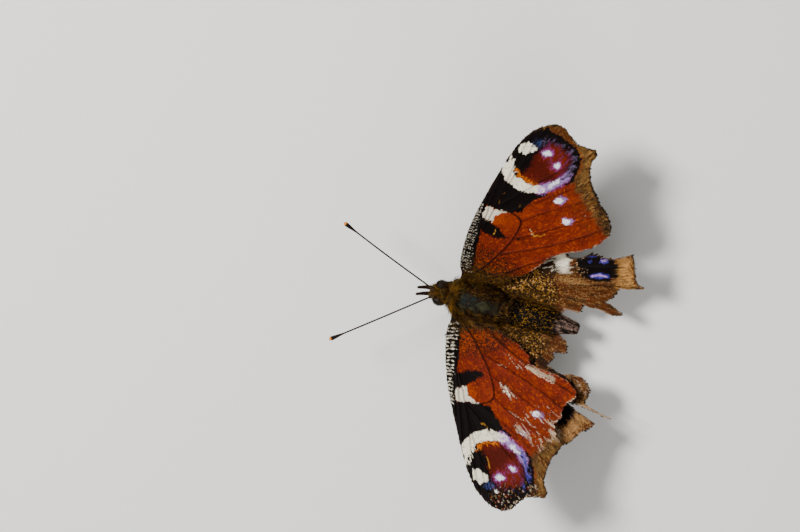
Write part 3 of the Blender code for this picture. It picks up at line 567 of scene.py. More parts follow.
def is_inside(flat, outline):
    """Which flat points lie inside a closed outline."""
    outline = np.array(outline, float)
    within = np.zeros(len(flat), bool)
    for a, b in zip(outline, np.roll(outline, -1, axis=0)):
        if a[1] == b[1]:
            continue
        crosses = (a[1] > flat[:, 1]) != (b[1] > flat[:, 1])
        within ^= crosses & (flat[:, 0] < a[0] + (b[0] - a[0]) * (flat[:, 1] - a[1]) / (b[1] - a[1]))
    return within


def depth_in(flat, outline):
    """How far inside a closed outline each flat point lies, negative outside it."""
    outline = np.array(outline, float)
    away = distance_to(flat, np.vstack([outline, outline[:1]]))
    return np.where(is_inside(flat, outline), away, -away)


def grain(flat, cell, seed):
    """Smooth noise between 0 and 1 whose features are about cell across."""
    table = np.random.default_rng(seed).random((GRAIN_CELLS, GRAIN_CELLS))
    spot = flat / cell + GRAIN_CELLS / 2
    low = np.floor(spot).astype(int)
    share = spot - low
    share = share * share * (3 - 2 * share)
    x, y = low[:, 0] % GRAIN_CELLS, low[:, 1] % GRAIN_CELLS
    x_next, y_next = (x + 1) % GRAIN_CELLS, (y + 1) % GRAIN_CELLS
    below = table[x, y] * (1 - share[:, 0]) + table[x_next, y] * share[:, 0]
    above = table[x, y_next] * (1 - share[:, 0]) + table[x_next, y_next] * share[:, 0]
    return below * (1 - share[:, 1]) + above * share[:, 1]


def unit(vectors):
    """Vectors scaled to length one."""
    return vectors / np.maximum(np.linalg.norm(vectors, axis=-1, keepdims=True), 1e-12)


def left_of(headings):
    """Flat headings turned a quarter turn to the left."""
    return np.stack([-headings[:, 1], headings[:, 0]], 1)


def ramp(values):
    """Values held between 0 and 1."""
    return np.clip(values, 0, 1)


def lay_over(colours, share, tint):
    """Lays a tint over colours, by a share for each of them."""
    colours += ramp(share)[:, None] * (tint - colours)


def swapped(colours, share, tint, rng):
    """The colours with a share of them, drawn at random, changed to the tint."""
    return np.where((rng.random(len(colours)) < share)[:, None], tint, colours)


def add_piece(name, points, faces, finish_key, slot, paint, patches=None, replaces=()):
    """A smooth-shaded piece that rides on the root.

    faces is a list of index arrays, each of one size. paint is one colour or a colour for each point,
    with or without the gleam after it. patches are the points' places on the bake map.
    """
    mesh = bpy.data.meshes.new(name)
    points = (np.asarray(points, float) + CENTRE) * MM
    mesh.vertices.add(len(points))
    mesh.vertices.foreach_set("co", points.astype(np.float32).ravel())
    corners = np.concatenate([f.ravel() for f in faces]).astype(np.int32)
    sizes = np.concatenate([np.full(len(f), f.shape[1]) for f in faces])
    mesh.loops.add(len(corners))
    mesh.loops.foreach_set("vertex_index", corners)
    mesh.polygons.add(len(sizes))
    mesh.polygons.foreach_set("loop_start", np.concatenate([[0], np.cumsum(sizes)[:-1]]).astype(np.int32))
    mesh.update(calc_edges=True)
    mesh.validate()
    values = np.zeros((len(points), 4), np.float32)
    values[:, :np.shape(paint)[-1]] = paint
    layer = mesh.color_attributes.new(name=PAINT, type="FLOAT_COLOR", domain="POINT")
    layer.data.foreach_set("color", values.ravel())
    if patches is not None:
        corners = np.empty(len(mesh.loops), np.int32)
        mesh.loops.foreach_get("vertex_index", corners)
        layer = mesh.uv_layers.new(name=BAKE_MAP)
        layer.data.foreach_set("uv", np.asarray(patches, np.float32)[corners].ravel())
    mesh.shade_smooth()
    mesh.materials.append(finish(finish_key))
    obj = bpy.data.objects.new(name, mesh)
    bpy.context.scene.collection.objects.link(obj)
    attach(obj, "root")
    if replaces:
        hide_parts(*replaces)


def grid_faces(rows, columns):
    """Quads over rows of points, each row a ring."""
    i, j = np.meshgrid(np.arange(rows - 1), np.arange(columns), indexing="ij")
    i, j = i.ravel() * columns, j.ravel()
    k = (j + 1) % columns
    return np.stack([i + columns + j, i + columns + k, i + k, i + j], 1)


def closed_grid(rows, columns):
    """The quads of a grid of rings, and a face over each end ring."""
    ring = np.arange(columns)[None]
    return [grid_faces(rows, columns), ring, ring[:, ::-1] + (rows - 1) * columns]


def tube(path, radii, sides, up=(0.0, 0.0, 1.0)):
    """A round tube along a path with a cap at each end: its points and faces, in rows of sides."""
    path = np.asarray(path, float)
    ahead = unit(np.gradient(path, axis=0))
    normal = np.array(up, float)
    rings = []
    for point, along, radius in zip(path, ahead, radii):
        across = unit(np.cross(along, normal))
        normal = unit(np.cross(across, along))
        turn = np.linspace(0, math.tau, sides, endpoint=False)[:, None]
        rings.append(point + (across * np.cos(turn) + normal * np.sin(turn)) * radius)
    points = np.vstack(rings + [path[:1], path[-1:]])
    count = len(path) * sides
    j = np.arange(sides)
    k = (j + 1) % sides
    last = count - sides
    first_cap = np.stack([np.full(sides, count), j, k], 1)
    last_cap = np.stack([np.full(sides, count + 1), last + k, last + j], 1)
    return points, [grid_faces(len(path), sides), np.vstack([first_cap, last_cap])]


def tube_paint(colours, sides):
    """The paint of a tube whose rings have these colours."""
    return np.vstack([np.repeat(colours, sides, axis=0), colours[:1], colours[-1:]])


def travelled_along(path):
    """The length of a path from its start to each of its points."""
    return np.concatenate([[0], np.cumsum(np.linalg.norm(np.diff(path, axis=0), axis=1))])


def joined(parts):
    """Several (points, faces) parts as one."""
    points, faces, first = [], [], 0
    for part_points, part_faces in parts:
        points.append(part_points)
        faces += [f + first for f in part_faces]
        first += len(part_points)
    return np.vstack(points), faces


# Small shapes to be copied. Each point holds shares: across, along, lift, and up by the width.
SCALE = SimpleNamespace(
    slot="wing_scales",
    finish="scales",
    points=np.array([
        (-0.16, 0.0, 0.0, 0), (0.16, 0.0, 0.0, 0), (-0.5, 0.5, 0.75, 0), (0.5, 0.5, 0.75, 0),
        (-0.44, 0.93, 1.0, 0), (-0.17, 0.85, 1.0, 0), (0.17, 0.85, 1.0, 0), (0.44, 0.93, 1.0, 0),
        (0.0, 1.0, 1.0, 0),
    ]),
    faces=np.array([(0, 1, 3), (0, 3, 2), (2, 5, 4), (2, 3, 5), (3, 6, 5), (3, 7, 6), (5, 6, 8)]),
)
HAIR = SimpleNamespace(
    slot="brown_fur",
    finish="fur",
    points=np.array([
        (-0.5, 0.0, 0.0, -0.3), (0.5, 0.0, 0.0, -0.3), (0.0, 0.0, 0.0, 0.4),
        (-0.4, 0.5, 0.62, -0.2), (0.4, 0.5, 0.62, -0.2), (0.0, 0.5, 0.62, 0.3), (0.0, 1.0, 1.0, 0.0),
    ]),
    faces=np.array([
        (0, 1, 4), (0, 4, 3), (1, 2, 5), (1, 5, 4), (2, 0, 3), (2, 3, 5), (3, 4, 6), (4, 5, 6), (5, 3, 6),
    ]),
)


def add_coat(name, shape, roots, along, up, lengths, widths, lifts, paint, places):
    """A coat piece: a copy of a small shape on each root, and a patch of the bake map for each copy."""
    count, size = len(roots), len(shape.points)
    up = unit(up - along * (up * along).sum(1)[:, None])
    across = np.cross(along, up)
    lengths, widths, lifts = (np.broadcast_to(v, count)[:, None, None] for v in (lengths, widths, lifts))
    aside, ahead, lift, raised = (shape.points[None, :, k, None] for k in range(4))
    points = (
        roots[:, None]
        + across[:, None] * (aside * widths)
        + along[:, None] * (ahead * lengths)
        + up[:, None] * (lift * lifts + raised * widths)
    )
    faces = (shape.faces[None] + np.arange(count)[:, None, None] * size).reshape(-1, 3)
    local = (shape.points[:, :2] - (0, 0.5)) * PATCH
    patches = (places[:, None] + local[None]).reshape(-1, 2)
    paint = np.repeat(np.broadcast_to(paint, (count, np.shape(paint)[-1])), size, axis=0)
    add_piece(name, points.reshape(-1, 3), [faces], shape.finish, shape.slot, paint, patches)


def add_node(tree, kind, settings=None, links=None):
    """A shader node with its settings and values, and the links into its sockets."""
    node = tree.nodes.new(kind)
    for key, value in (settings or {}).items():
        if key in node.inputs:
            node.inputs[key].default_value = value
        else:
            setattr(node, key, value)
    for key, source in (links or {}).items():
        tree.links.new(source, node.inputs[key])
    return node


def painted_material(name, roughness, gloss, grain_size, bump, specular):
    """A finish that takes its colour from the paint on the mesh, mottled and bumped at a real grain size.

    The paint's alpha turns the roughness towards the gloss.
    """
    material = bpy.data.materials.new(name)
    material.use_nodes = True
    tree = material.node_tree
    shader = tree.nodes["Principled BSDF"]
    shader.inputs["Specular IOR Level"].default_value = specular
    place = add_node(tree, "ShaderNodeTexCoord").outputs["Object"]
    paint = add_node(tree, "ShaderNodeAttribute", {"attribute_name": PAINT})
    noise = add_node(
        tree, "ShaderNodeTexNoise", {"Scale": 1 / (grain_size * MM), "Detail": 3.0}, {"Vector": place},
    )
    mottle = add_node(
        tree, "ShaderNodeMapRange", {"From Min": 0.3, "From Max": 0.7, "To Min": 0.78, "To Max": 1.15},
        {"Value": noise.outputs["Fac"]},
    )
    tinted = add_node(
        tree, "ShaderNodeVectorMath", {"operation": "SCALE"},
        {"Vector": paint.outputs["Color"], "Scale": mottle.outputs["Result"]},
    )
    tree.links.new(tinted.outputs["Vector"], shader.inputs["Base Color"])
    rough = add_node(
        tree, "ShaderNodeMapRange", {"To Min": roughness, "To Max": gloss},
        {"Value": paint.outputs["Alpha"]},
    )
    tree.links.new(rough.outputs["Result"], shader.inputs["Roughness"])
    if bump:
        raised = add_node(
            tree, "ShaderNodeBump", {"Strength": bump, "Distance": grain_size * MM / 2},
            {"Height": noise.outputs["Fac"]},
        )
        tree.links.new(raised.outputs["Normal"], shader.inputs["Normal"])
    return material


def add_facets(material):
    """Cuts the surface into the facets of a compound eye.

    The real facets are about 0.02 mm wide, and are drawn three times as wide so that they show.
    """
    tree = material.node_tree
    place = add_node(tree, "ShaderNodeTexCoord").outputs["Object"]
    facets = add_node(
        tree, "ShaderNodeTexVoronoi", {"Scale": 1 / (FACET_WIDTH * MM), "Randomness": 0.35},
        {"Vector": place},
    )
    raised = add_node(
        tree, "ShaderNodeBump", {"Strength": 0.8, "Distance": FACET_WIDTH * MM / 3, "invert": True},
        {"Height": facets.outputs["Distance"]},
    )
    tree.links.new(raised.outputs["Normal"], tree.nodes["Principled BSDF"].inputs["Normal"])


FINISHES = {
    # The ridged chitin plates of the wings: dull pigment below, a satin glint at grazing light.
    "scales": ("wing scales, ridged chitin", 0.7, 0.42, 0.12, 0.35, 0.07),
    # Clear chitin film, tinted by what is left of the scale dust.
    "membrane": ("wing membrane, chitin film", 0.55, 0.55, 0.2, 0.3, 0.2),
    # Insect hair is stiff chitin bristle with a soft sheen.
    "fur": ("body hair, chitin bristle", 0.6, 0.6, 0.25, 0.0, 0.09),
    # Body cuticle is hard, dark and faintly glossy, with a fine pitted grain.
    "cuticle": ("cuticle, hard chitin", 0.62, 0.42, 0.09, 0.35, 0.12),
    # Clear lens cuticle over dark pigment.
    "eye": ("compound eye, lens cuticle", 0.45, 0.45, 0.4, 0.0, 0.18),
}


def finish(key):
    """One of the five finishes, made once."""
    name = FINISHES[key][0]
    if name not in bpy.data.materials:
        material = painted_material(*FINISHES[key])
        if key == "eye":
            add_facets(material)
    return bpy.data.materials[name]


def settings_of(group):
    """A property group's values by name, with colours as arrays and lengths in millimetres."""
    values = {}
    for key in type(group).__annotations__:
        value = getattr(group, key)
        if isinstance(value, float):
            value /= MM
        elif not isinstance(value, int):
            value = np.array(value, float)
        values[key] = value
    return SimpleNamespace(**values)


class Wing:
    """One wing: its pose, outline and veins."""

    def __init__(self, kind, side, thickness):
        self.kind = kind
        self.side = side
        self.name = f"{kind}_{side}"
        self.thickness = thickness
        rise, self.sweep = math.radians(RISE[kind]), math.radians(SWEEP[self.name])
        out = np.array((math.cos(rise) * SIGN[side], 0, math.sin(rise)))
        forward = np.array((0.0, -1.0, 0.0))
        self.along = out * math.cos(self.sweep) - forward * math.sin(self.sweep)
        self.across = out * math.sin(self.sweep) + forward * math.cos(self.sweep)
        self.up = np.array((-math.sin(rise) * SIGN[side], 0, math.cos(rise)))
        self.hinge = np.array(HINGES[self.name])
        self.seed = list(HINGES).index(self.name) + 1
        self.rng = np.random.default_rng(self.seed)
        if kind == "forewing":
            self.margin = FOREWING_MARGIN[:FOREWING_KEPT_MARGIN[side]]
            self.margin_edge = np.array(self.margin[3:])
            self.torn = FOREWING_TORN[side]
            margin = frayed(smooth_curve(self.margin, 0.2), self.rng, MARGIN_FRAY[side])
            torn = frayed(straight_run(self.torn, 0.2), self.rng, TEAR_FRAY[kind])
            self.outline = np.vstack(
                [smooth_curve(FOREWING_COSTA, 0.25), margin, torn, smooth_curve(FOREWING_DORSUM, 0.4)]
            )
        else:
            self.torn = HINDWING_TORN[side]
            self.margin_edge = np.array(self.torn[:HINDWING_TAN_POINTS[side]])
            costa = smooth_curve(HINDWING_COSTA[:HINDWING_KEPT_COSTA[side]], 0.3)
            torn = frayed(straight_run(self.torn, 0.2), self.rng, TEAR_FRAY[kind])
            self.outline = np.vstack([costa, torn, smooth_curve(HINDWING_INNER, 0.4)])
        self.veins = [smooth_curve(points, 0.3) for points in VEINS[kind].values()]

    def relief(self, flat):
        """Height of the pleats between the veins, and of the veins themselves."""
        away = np.min([distance_to(flat, vein[::2]) for vein in self.veins], axis=0)
        pleat = -PLEAT_DEPTH * (1 - np.exp(-(away / 0.9) ** 2))
        ridge = VEIN_RISE * np.exp(-(away / VEIN_WIDTH) ** 2) * np.clip(1.2 - flat[:, 0] / 40, 0.3, 1)
        return pleat, ridge

    def place(self, flat, height):
        """Flat points lifted by a height onto the arch of the wing."""
        out = flat[:, 0] * math.cos(self.sweep) + flat[:, 1] * math.sin(self.sweep)
        arch = WING_ARCH * 4 * out * (ARCH_REACH - out) / ARCH_REACH**2
        return (
            self.hinge + flat[:, :1] * self.along + flat[:, 1:] * self.across
            + (arch + height)[:, None] * self.up
        )

    def surface(self, flat, face):
        """Points on the upper (1) or lower (-1) face."""
        pleat, ridge = self.relief(flat)
        return self.place(flat, pleat + face * (self.thickness / 2 + ridge * (1.0 if face > 0 else 0.6)))

    def flow(self, flat):
        """The direction, in the wing's plane, in which the scales point."""
        return unit(flat - np.array(FAN[self.kind]))

    def places(self, flat):
        """Where flat points lie on the bake map."""
        return (flat - self.outline.min(0)) / WING_MAP_SPAN + MAP_EDGE


def thinned(points, others, distance):
    """The points that keep the distance from one another and from the others, by a grid of cells."""
    cells = set(map(tuple, np.floor(others / distance).astype(int)))
    kept = []
    for point in points:
        cell = tuple(np.floor(point / distance).astype(int))
        if cell not in cells:
            cells.add(cell)
            kept.append(point)
    return np.array(kept)


def membrane_layout(wing):
    """Flat points and triangles of a wing: its outline, its veins with their flanks, and a fine mesh."""
    outline = thinned(wing.outline, np.zeros((0, 2)), EDGE_PITCH)
    holes = [oval(*HOLE)] if wing.name == "forewing_left" else []
    loops = [outline] + holes
    edge_points = np.vstack(loops)
    edges, first = [], 0
    for loop in loops:
        edges += [(first + i, first + (i + 1) % len(loop)) for i in range(len(loop))]
        first += len(loop)
    rows = []
    for vein in wing.veins:
        ahead = unit(np.gradient(vein, axis=0))
        side = left_of(ahead)
        for offset in (0.0, VEIN_WIDTH, -VEIN_WIDTH, 3 * VEIN_WIDTH, -3 * VEIN_WIDTH):
            rows.append(vein + side * offset)
    rib_points = thinned(np.vstack(rows), edge_points, RIB_PITCH)
    low, high = outline.min(0), outline.max(0)
    x, y = np.meshgrid(
        np.arange(low[0], high[0], MEMBRANE_PITCH), np.arange(low[1], high[1], MEMBRANE_PITCH * 0.866)
    )
    x[1::2] += MEMBRANE_PITCH / 2
    mesh_points = np.stack([x.ravel(), y.ravel()], 1)
    mesh_points += wing.rng.uniform(-0.05, 0.05, mesh_points.shape)
    mesh_points = thinned(mesh_points, np.vstack([edge_points, rib_points]), 0.2)
    inner = np.vstack([rib_points, mesh_points])
    inner = inner[depth_in(inner, outline) > 0.06]
    for hole in holes:
        inner = inner[depth_in(inner, hole) < -0.05]
    points = np.vstack([edge_points, inner])
    flat, _, faces, _, _, _ = delaunay_2d_cdt(
        [Vector(p) for p in points], edges, [list(range(len(outline)))], 1, 1e-6
    )
    flat, faces = np.array(flat), np.array(faces)
    for hole in holes:
        faces = faces[~is_inside(flat[faces].mean(1), hole)]
    return flat, faces


def boundary_edges(faces):
    """The directed edges of triangles that have no twin."""
    directed = np.vstack([faces[:, [0, 1]], faces[:, [1, 2]], faces[:, [2, 0]]])
    keys = set(map(tuple, directed.tolist()))
    return np.array([edge for edge in keys if (edge[1], edge[0]) not in keys])


class Painter:
    """Colours flat points by laying marks over a ground. A mosaic gives each point one mark's colour."""

    def __init__(self, wing, flat, ground, seed, mosaic):
        self.wing = wing
        self.left = wing.side == "left"
        self.flat = flat
        self.rng = np.random.default_rng(seed)
        self.mosaic = mosaic
        self.colours = np.tile(ground, (len(flat), 1))
        self.gleam = np.zeros(len(flat))
        out = flat - np.array(FAN[wing.kind])
        reach, turn = np.hypot(*out.T), np.arctan2(out[:, 1], out[:, 0])
        self.polar = np.stack([reach, turn * STREAKS_PER_RADIAN], 1)
        self.streak = grain(self.polar, 1.0, seed + 10)
        self.flow = unit(out)
        wave = np.stack([grain(flat, 0.5, seed + 11), grain(flat, 0.5, seed + 12)], 1) - 0.5
        self.wavy = flat + wave * EDGE_SWAY

    def lay(self, share, tint, gleam=0.0, blend=False):
        """Lays a colour over the points. In a mosaic each point draws whether the mark takes it."""
        share = ramp(share)
        if self.mosaic and not blend:
            share = ramp(0.5 + (share - 0.17 - 0.66 * self.rng.random(len(share))) * MOSAIC_CONTRAST)
        lay_over(self.colours, share, tint)
        self.gleam += share * (gleam - self.gleam)

    def brushed(self, feather):
        """The points shifted along the lie of the scales, so that a mark's edge breaks into streaks."""
        return self.wavy + self.flow * ((self.streak - 0.5) * 2 * feather)[:, None]

    def within(self, shape, soft, feather=0.12):
        """Share inside a closed shape, with an edge that is soft over so many millimetres."""
        return ramp(0.5 + depth_in(self.brushed(feather), shape) / soft)

    def along(self, path, half_width, soft, feather=0.1):
        """Share on a stroke along an open path."""
        return ramp(0.5 + (half_width - distance_to(self.brushed(feather), path)) / soft)

    def streaks(self, cover, seed=None, fineness=1.0, shortness=1.0):
        """Share in fine streaks along the lie of the scales."""
        streak = self.streak if seed is None else grain(self.polar * (shortness, fineness), 1.0, seed)
        return ramp(0.5 + (cover - streak) * FLECK_CONTRAST)

    def flecks(self, cell, cover, seed):
        """Share in flecks about cell across that cover such a share of the whole."""
        return ramp(0.5 + (cover - grain(self.flat, cell, seed)) * FLECK_CONTRAST)


def lay_forewing_ground(p, tint):
    """The rust ground with its brighter and darker fields, and the tan margin."""
    marks = FOREWING_MARKS
    shade = grain(p.flat, 2.2, 5) * 0.5 + grain(p.flat, 0.8, 6) * 0.5
    p.lay(shade - 0.55, tint.ember, blend=True)
    p.lay((0.5 - shade) * 1.4, tint.garnet, blend=True)
    p.lay(0.8 * ramp(1 - (p.flat[:, 0] - 3.5) / 6), tint.garnet)
    p.lay(0.35 * p.streaks(0.35), tint.garnet)
    p.lay(0.4 * p.streaks(0.3, 19), tint.ember)
    p.lay(0.5 * p.flecks(0.3, 0.26, 18), tint.ember)
    p.lay(0.5 * p.flecks(0.3, 0.24, 17), tint.garnet)
    # brighter ground below the first white patch, darker towards the tan margin
    p.lay(0.8 * p.within(marks.first_glow, 0.9, 0.4), tint.ember)
    p.lay((0.12 if p.left else 0.4) * p.within(marks.wide_glow, 1.6, 0.4), tint.ember, blend=True)
    p.lay(0.4 * p.within(marks.shaded_rear, 3.0, 0.5), tint.bark)
    margin = p.within(marks.outer_margin, 1.0, 0.5)
    p.lay(margin, tint.tan * (0.78, 0.74, 0.58), blend=True)
    p.lay(0.6 * margin * p.streaks(0.36), tint.bark)
    p.lay(0.5 * margin * p.streaks(0.36, 23, 0.6), tint.umber * 1.3)
    p.lay(0.6 * margin * p.streaks(0.33, 21), tint.tan * (1.75, 1.65, 1.4))
    p.lay(0.4 * margin * p.flecks(0.9, 0.35, 22), tint.umber, blend=True)
    if not p.left:
        p.lay(0.75 * p.within(marks.tip_corner, 0.8, 0.4), tint.bark)
        p.lay(0.5 * p.within(marks.tip_corner, 0.8, 0.4) * p.streaks(0.4, 24), tint.tan)
    p.lay(0.6 * p.within(marks.rear_corner, 1.0), tint.umber)


def lay_forewing_base(p, tint):
    """The dark base with gold flecks, the barred front edge, the black and white patches."""
    marks = FOREWING_MARKS
    p.lay(p.within(marks.base, 2.4, 0.4), tint.soot)
    p.lay(0.35 * p.within(marks.base, 3.0, 0.4), tint.gold * 0.7)
    p.lay(p.within(marks.root, 0.8), tint.soot)
    p.lay((0.6 if p.left else 0.35) * p.within(marks.base_glow, 1.6), tint.ember)
    p.lay(0.4 * p.within(marks.base_shade, 1.6), tint.soot)
    # the dark costal band and its pale cross-bars
    p.lay(p.within(marks.costal_band, 0.25), tint.black)
    lay_costal_bars(p, tint.cream * (0.75 if p.left else 0.5))
    # dark patch by the band, then the first white patch
    p.lay(p.within(marks.dark_patch, 0.5, 0.2), tint.black)
    p.lay(p.within(marks.first_patch, 0.2, 0.25), tint.cream * (0.85 if p.left else 0.8))
    # the broad black patch
    p.lay(p.within(marks.broad_patch, 0.16), tint.black)


def lay_forewing_eyespot(p, tint):
    """The eyespot: black ground, wine middle, red towards the margin, and its rims."""
    marks = FOREWING_MARKS
    p.lay(p.within(marks.eyespot, 0.12), tint.black)
    p.lay(p.within(marks.wine_field, 0.8, 0.3), tint.wine)
    p.lay(0.45 * p.along(marks.wine_edge, 0.4, 1.0, 0.5), tint.rust)
    p.lay(0.8 * p.within(marks.outer_red, 0.9, 0.4), tint.rust * 0.8)
    p.lay(0.5 * p.within(marks.magenta_dust, 0.8, 0.4) * p.streaks(0.4, 26), tint.magenta * 0.7)
    p.lay(0.9 * p.within(marks.upper_black, 1.0, 0.5), tint.black)
    # violet and blue sweep along the lower rim of the eyespot
    inner, outer = marks.violet_rim[:5], marks.violet_rim[3:]
    rim_tint = tint.dusk * 0.4 + tint.blue * 1.3 if p.left else tint.dusk * 1.3
    corner_tint = tint.blue if p.left else tint.dusk
    p.lay(0.9 * p.along(inner, 0.75, 0.5, 0.4), tint.magenta, 0.3)
    p.lay(0.9 * p.along(inner, 0.5, 0.4, 0.4), tint.lilac * 0.9, 0.4)
    p.lay(0.95 * p.along(outer, 0.4, 0.4, 0.3) * p.streaks(0.62), rim_tint, 0.8)
    p.lay(0.7 * p.along(outer, 0.5, 0.5) * p.streaks(0.4, 28, 1.3, 2.0), tint.dusk * 1.9, 0.6)
    p.lay(0.6 * p.along(outer, 0.5, 0.5) * p.streaks(0.36, 30, 1.3, 2.0), tint.black)
    p.lay(0.7 * p.along(marks.rim_corner, 0.4, 0.5) * p.streaks(0.45), corner_tint, 0.7)
    p.lay(0.9 * p.along(marks.rim_light, 0.3, 0.4, 0.3), tint.white * 0.85, 0.3)
    # the cream arc and its yellow fringe
    p.lay(p.along(marks.arc_fringe, 0.22, 0.5, 0.4), tint.amber)
    p.lay(p.within(marks.arc, 0.14, 0.14), tint.cream)
    p.lay(0.6 * p.within(marks.arc_lilac, 0.8, 0.3), tint.lilac * 1.5)
    p.lay(0.9 * p.within(marks.arc_top, 0.3, 0.6) * p.streaks(0.5), tint.cream)
    p.lay(0.35 * p.within(marks.arc, 0.4) * p.flecks(0.5, 0.33, 25), tint.bare * 1.4)


def lay_forewing_spots(p, tint):
    """The second white patch, the blue dust and the row of light spots."""
    marks = FOREWING_MARKS
    p.lay(p.within(marks.second_patch, 0.2, 0.25), tint.cream)
    dust_tint = tint.blue * (0.4 if p.left else 0.1) + tint.teal * 1.2
    p.lay(0.8 * p.within(marks.blue_dust, 0.6, 0.4) * p.streaks(0.5), dust_tint, 0.8)
    p.lay(0.4 * p.within(marks.dull_dust, 0.7, 0.4) * p.streaks(0.42, 27), tint.dusk, 0.7)
    for x, y, half_length, half_width, tilt in marks.haloed_spots:
        outer_halo = oval(x, y, half_length * 1.7, half_width * 1.8, tilt)
        inner_halo = oval(x, y, half_length * 1.2, half_width * 1.2, tilt)
        middle = oval(x, y, half_length * 0.9, half_width * 0.9, tilt)
        p.lay(0.75 * p.within(outer_halo, 0.7, 0.4), tint.magenta * (1.35, 1.1, 1.5), 0.3)
        p.lay(0.8 * p.within(inner_halo, 0.35, 0.2), tint.lilac, 0.4)
        p.lay(p.within(middle, 0.25), tint.white * 0.9, 0.3)
    covers = (1.0, 0.35 if p.left else 1.0)
    for (x, y, half_length, half_width, tilt), cover in zip(marks.plain_spots, covers):
        halo = oval(x + 0.25, y - 0.2, half_length * 1.5, half_width * 1.3, tilt)
        p.lay(0.75 * cover * p.within(halo, 0.4, 0.3), tint.lilac * 0.8, 0.4)
        p.lay(cover * p.within(oval(x, y, half_length, half_width, tilt), 0.2), tint.white * 0.9, 0.3)


def lay_forewing_rims(p, tint):
    """The black rim, the brown tip and the margin's dark edge."""
    marks = FOREWING_MARKS
    p.lay(p.along(marks.black_rim, 0.17, 0.25), tint.black)
    p.lay(0.8 * p.along(smooth_curve(FOREWING_COSTA, 0.8), 0.1, 0.1) * (p.flat[:, 0] > 12.5), tint.umber)
    p.lay(0.75 * p.along(marks.tip_edge, 0.36, 0.35), tint.umber)
    if not p.left:
        p.lay(0.6 * p.along(marks.tip_flecks, 0.5, 0.4) * p.flecks(0.5, 0.5, 29), tint.gold * 0.5)
    p.lay(0.75 * p.along(p.wing.margin_edge, 0.16, 0.25), tint.umber)


def paint_forewing_top(wing, flat, tint, mosaic):
    """The upper side of a forewing, from the ground colour up to the last scratch."""
    p = Painter(wing, flat, tint.rust, 40 + wing.seed, mosaic)
    lay_forewing_ground(p, tint)
    lay_forewing_base(p, tint)
    lay_forewing_eyespot(p, tint)
    lay_forewing_spots(p, tint)
    lay_forewing_rims(p, tint)
    lay_veins(p, tint, 0.8)
    if p.left:
        wear_left_forewing(p, tint)
    else:
        wear_right_forewing(p, tint)
    return p


def lay_costal_bars(p, tint):
    """Wavy pale cross-bars on the dark front edge: bold on the left wing, beaded on the right."""
    rng = np.random.default_rng(33)
    costa = np.array(FOREWING_COSTA)
    near = np.flatnonzero((p.flat[:, 0] < 13) & (p.flat[:, 1] > -0.4))
    share = np.zeros(len(p.flat))
    step = 0.5 if p.left else 0.41
    for k in range(int(11.5 / step)):
        x = 0.9 + step * k + rng.uniform(-0.08, 0.08)
        front = np.interp(x, costa[:, 0], costa[:, 1]) - 0.05
        reach = np.interp(x, [0.5, 4, 8, 10, 12], [1.9, 1.7, 1.15, 0.55, 0.3]) * rng.uniform(0.7, 1.0)
        t = np.linspace(0, 1, 7)
        path = np.stack([x + 0.35 * t - 0.25 + 0.07 * np.sin(7 * t + 2 * k), front - reach * t], 1)
        away = distance_to(p.flat[near], path)
        rise = (front - p.flat[near, 1]) / reach
        if p.left:
            width = 0.075 + 0.04 * np.cos(rise * 9 + k)
        else:
            width = 0.045 + 0.045 * np.cos(rise * 26 + 2 * k)
        share[near] = np.maximum(share[near], ramp(0.5 + (width - away) / 0.05))
    p.lay(share, tint, blend=True)


def lay_veins(p, tint, strength):
    """The veins show as fine dark lines, the ones about the cell most of all."""
    for name, vein in zip(VEINS[p.wing.kind], p.wing.veins):
        stronger = VEIN_DARKNESS.get(name, 0.3)
        away = distance_to(p.flat, vein[::2])
        p.lay(strength * stronger * ramp(1.4 - away / 0.1), tint.black, blend=True)


def wear_left_forewing(p, tint):
    """Rubs and scratches of the left forewing, and its streaked tip."""
    marks = FOREWING_MARKS
    p.lay(p.within(marks.worn_tip, 0.6, 0.4), tint.black)
    for seed, cover, mark in (
        (91, 0.36, tint.rust * 0.5), (92, 0.3, tint.tan * 0.9), (93, 0.46, tint.black),
        (94, 0.22, tint.cream * 0.3 + tint.tan * 0.4), (96, 0.38, tint.black),
    ):
        p.lay(0.9 * p.within(marks.frayed_rim, 1.0, 0.5) * p.streaks(cover, seed, 1.5, 3.4), mark)
    pale_edge = p.along(FOREWING_MARGIN[:5], 0.3, 0.4, 0.3)
    p.lay(0.85 * pale_edge * p.streaks(0.46, 95, 1.5, 2.8), tint.cream * 0.3 + tint.tan)
    p.lay(0.85 * p.within(oval(*marks.outer_rub), 0.5, 0.4) * p.streaks(0.48), tint.bare * 0.85)
    p.lay(0.9 * p.within(oval(*marks.rub), 0.4, 0.4) * p.streaks(0.42), tint.bare)
    p.lay(0.9 * p.within(oval(*marks.rub_middle), 0.4, 0.4) * p.streaks(0.35, 97), tint.cream * 0.9)
    p.lay(0.7 * p.within(marks.scratched_field, 2.0) * p.streaks(0.27), tint.bare)
    p.lay(0.7 * p.within(marks.scratched_base, 0.9) * p.streaks(0.3), tint.bare)
    strip = p.along(marks.rubbed_strip, 0.34, 0.3)
    p.lay(strip, tint.bare * (0.66, 0.6, 0.58))
    p.lay(0.8 * strip * p.streaks(0.36, 98, 2.0), tint.tan)
    p.lay(0.7 * strip * p.streaks(0.3, 99, 2.0), tint.bare * 1.1)
    p.lay(0.8 * p.along(marks.strip_edge, 0.08, 0.12), tint.bare * 1.4)
    p.lay(0.7 * p.within(marks.scratched_rear, 0.7) * p.streaks(0.6), tint.bare * 1.2)
    for path in marks.scratches:
        p.lay(0.7 * p.along(path, 0.05, 0.1), tint.bare)
    for path in marks.golden_scratches:
        p.lay(p.along(path, 0.06, 0.08), tint.gold)
    p.lay(0.8 * p.along(marks.torn_edge, 0.14, 0.2), tint.bare * 1.1)


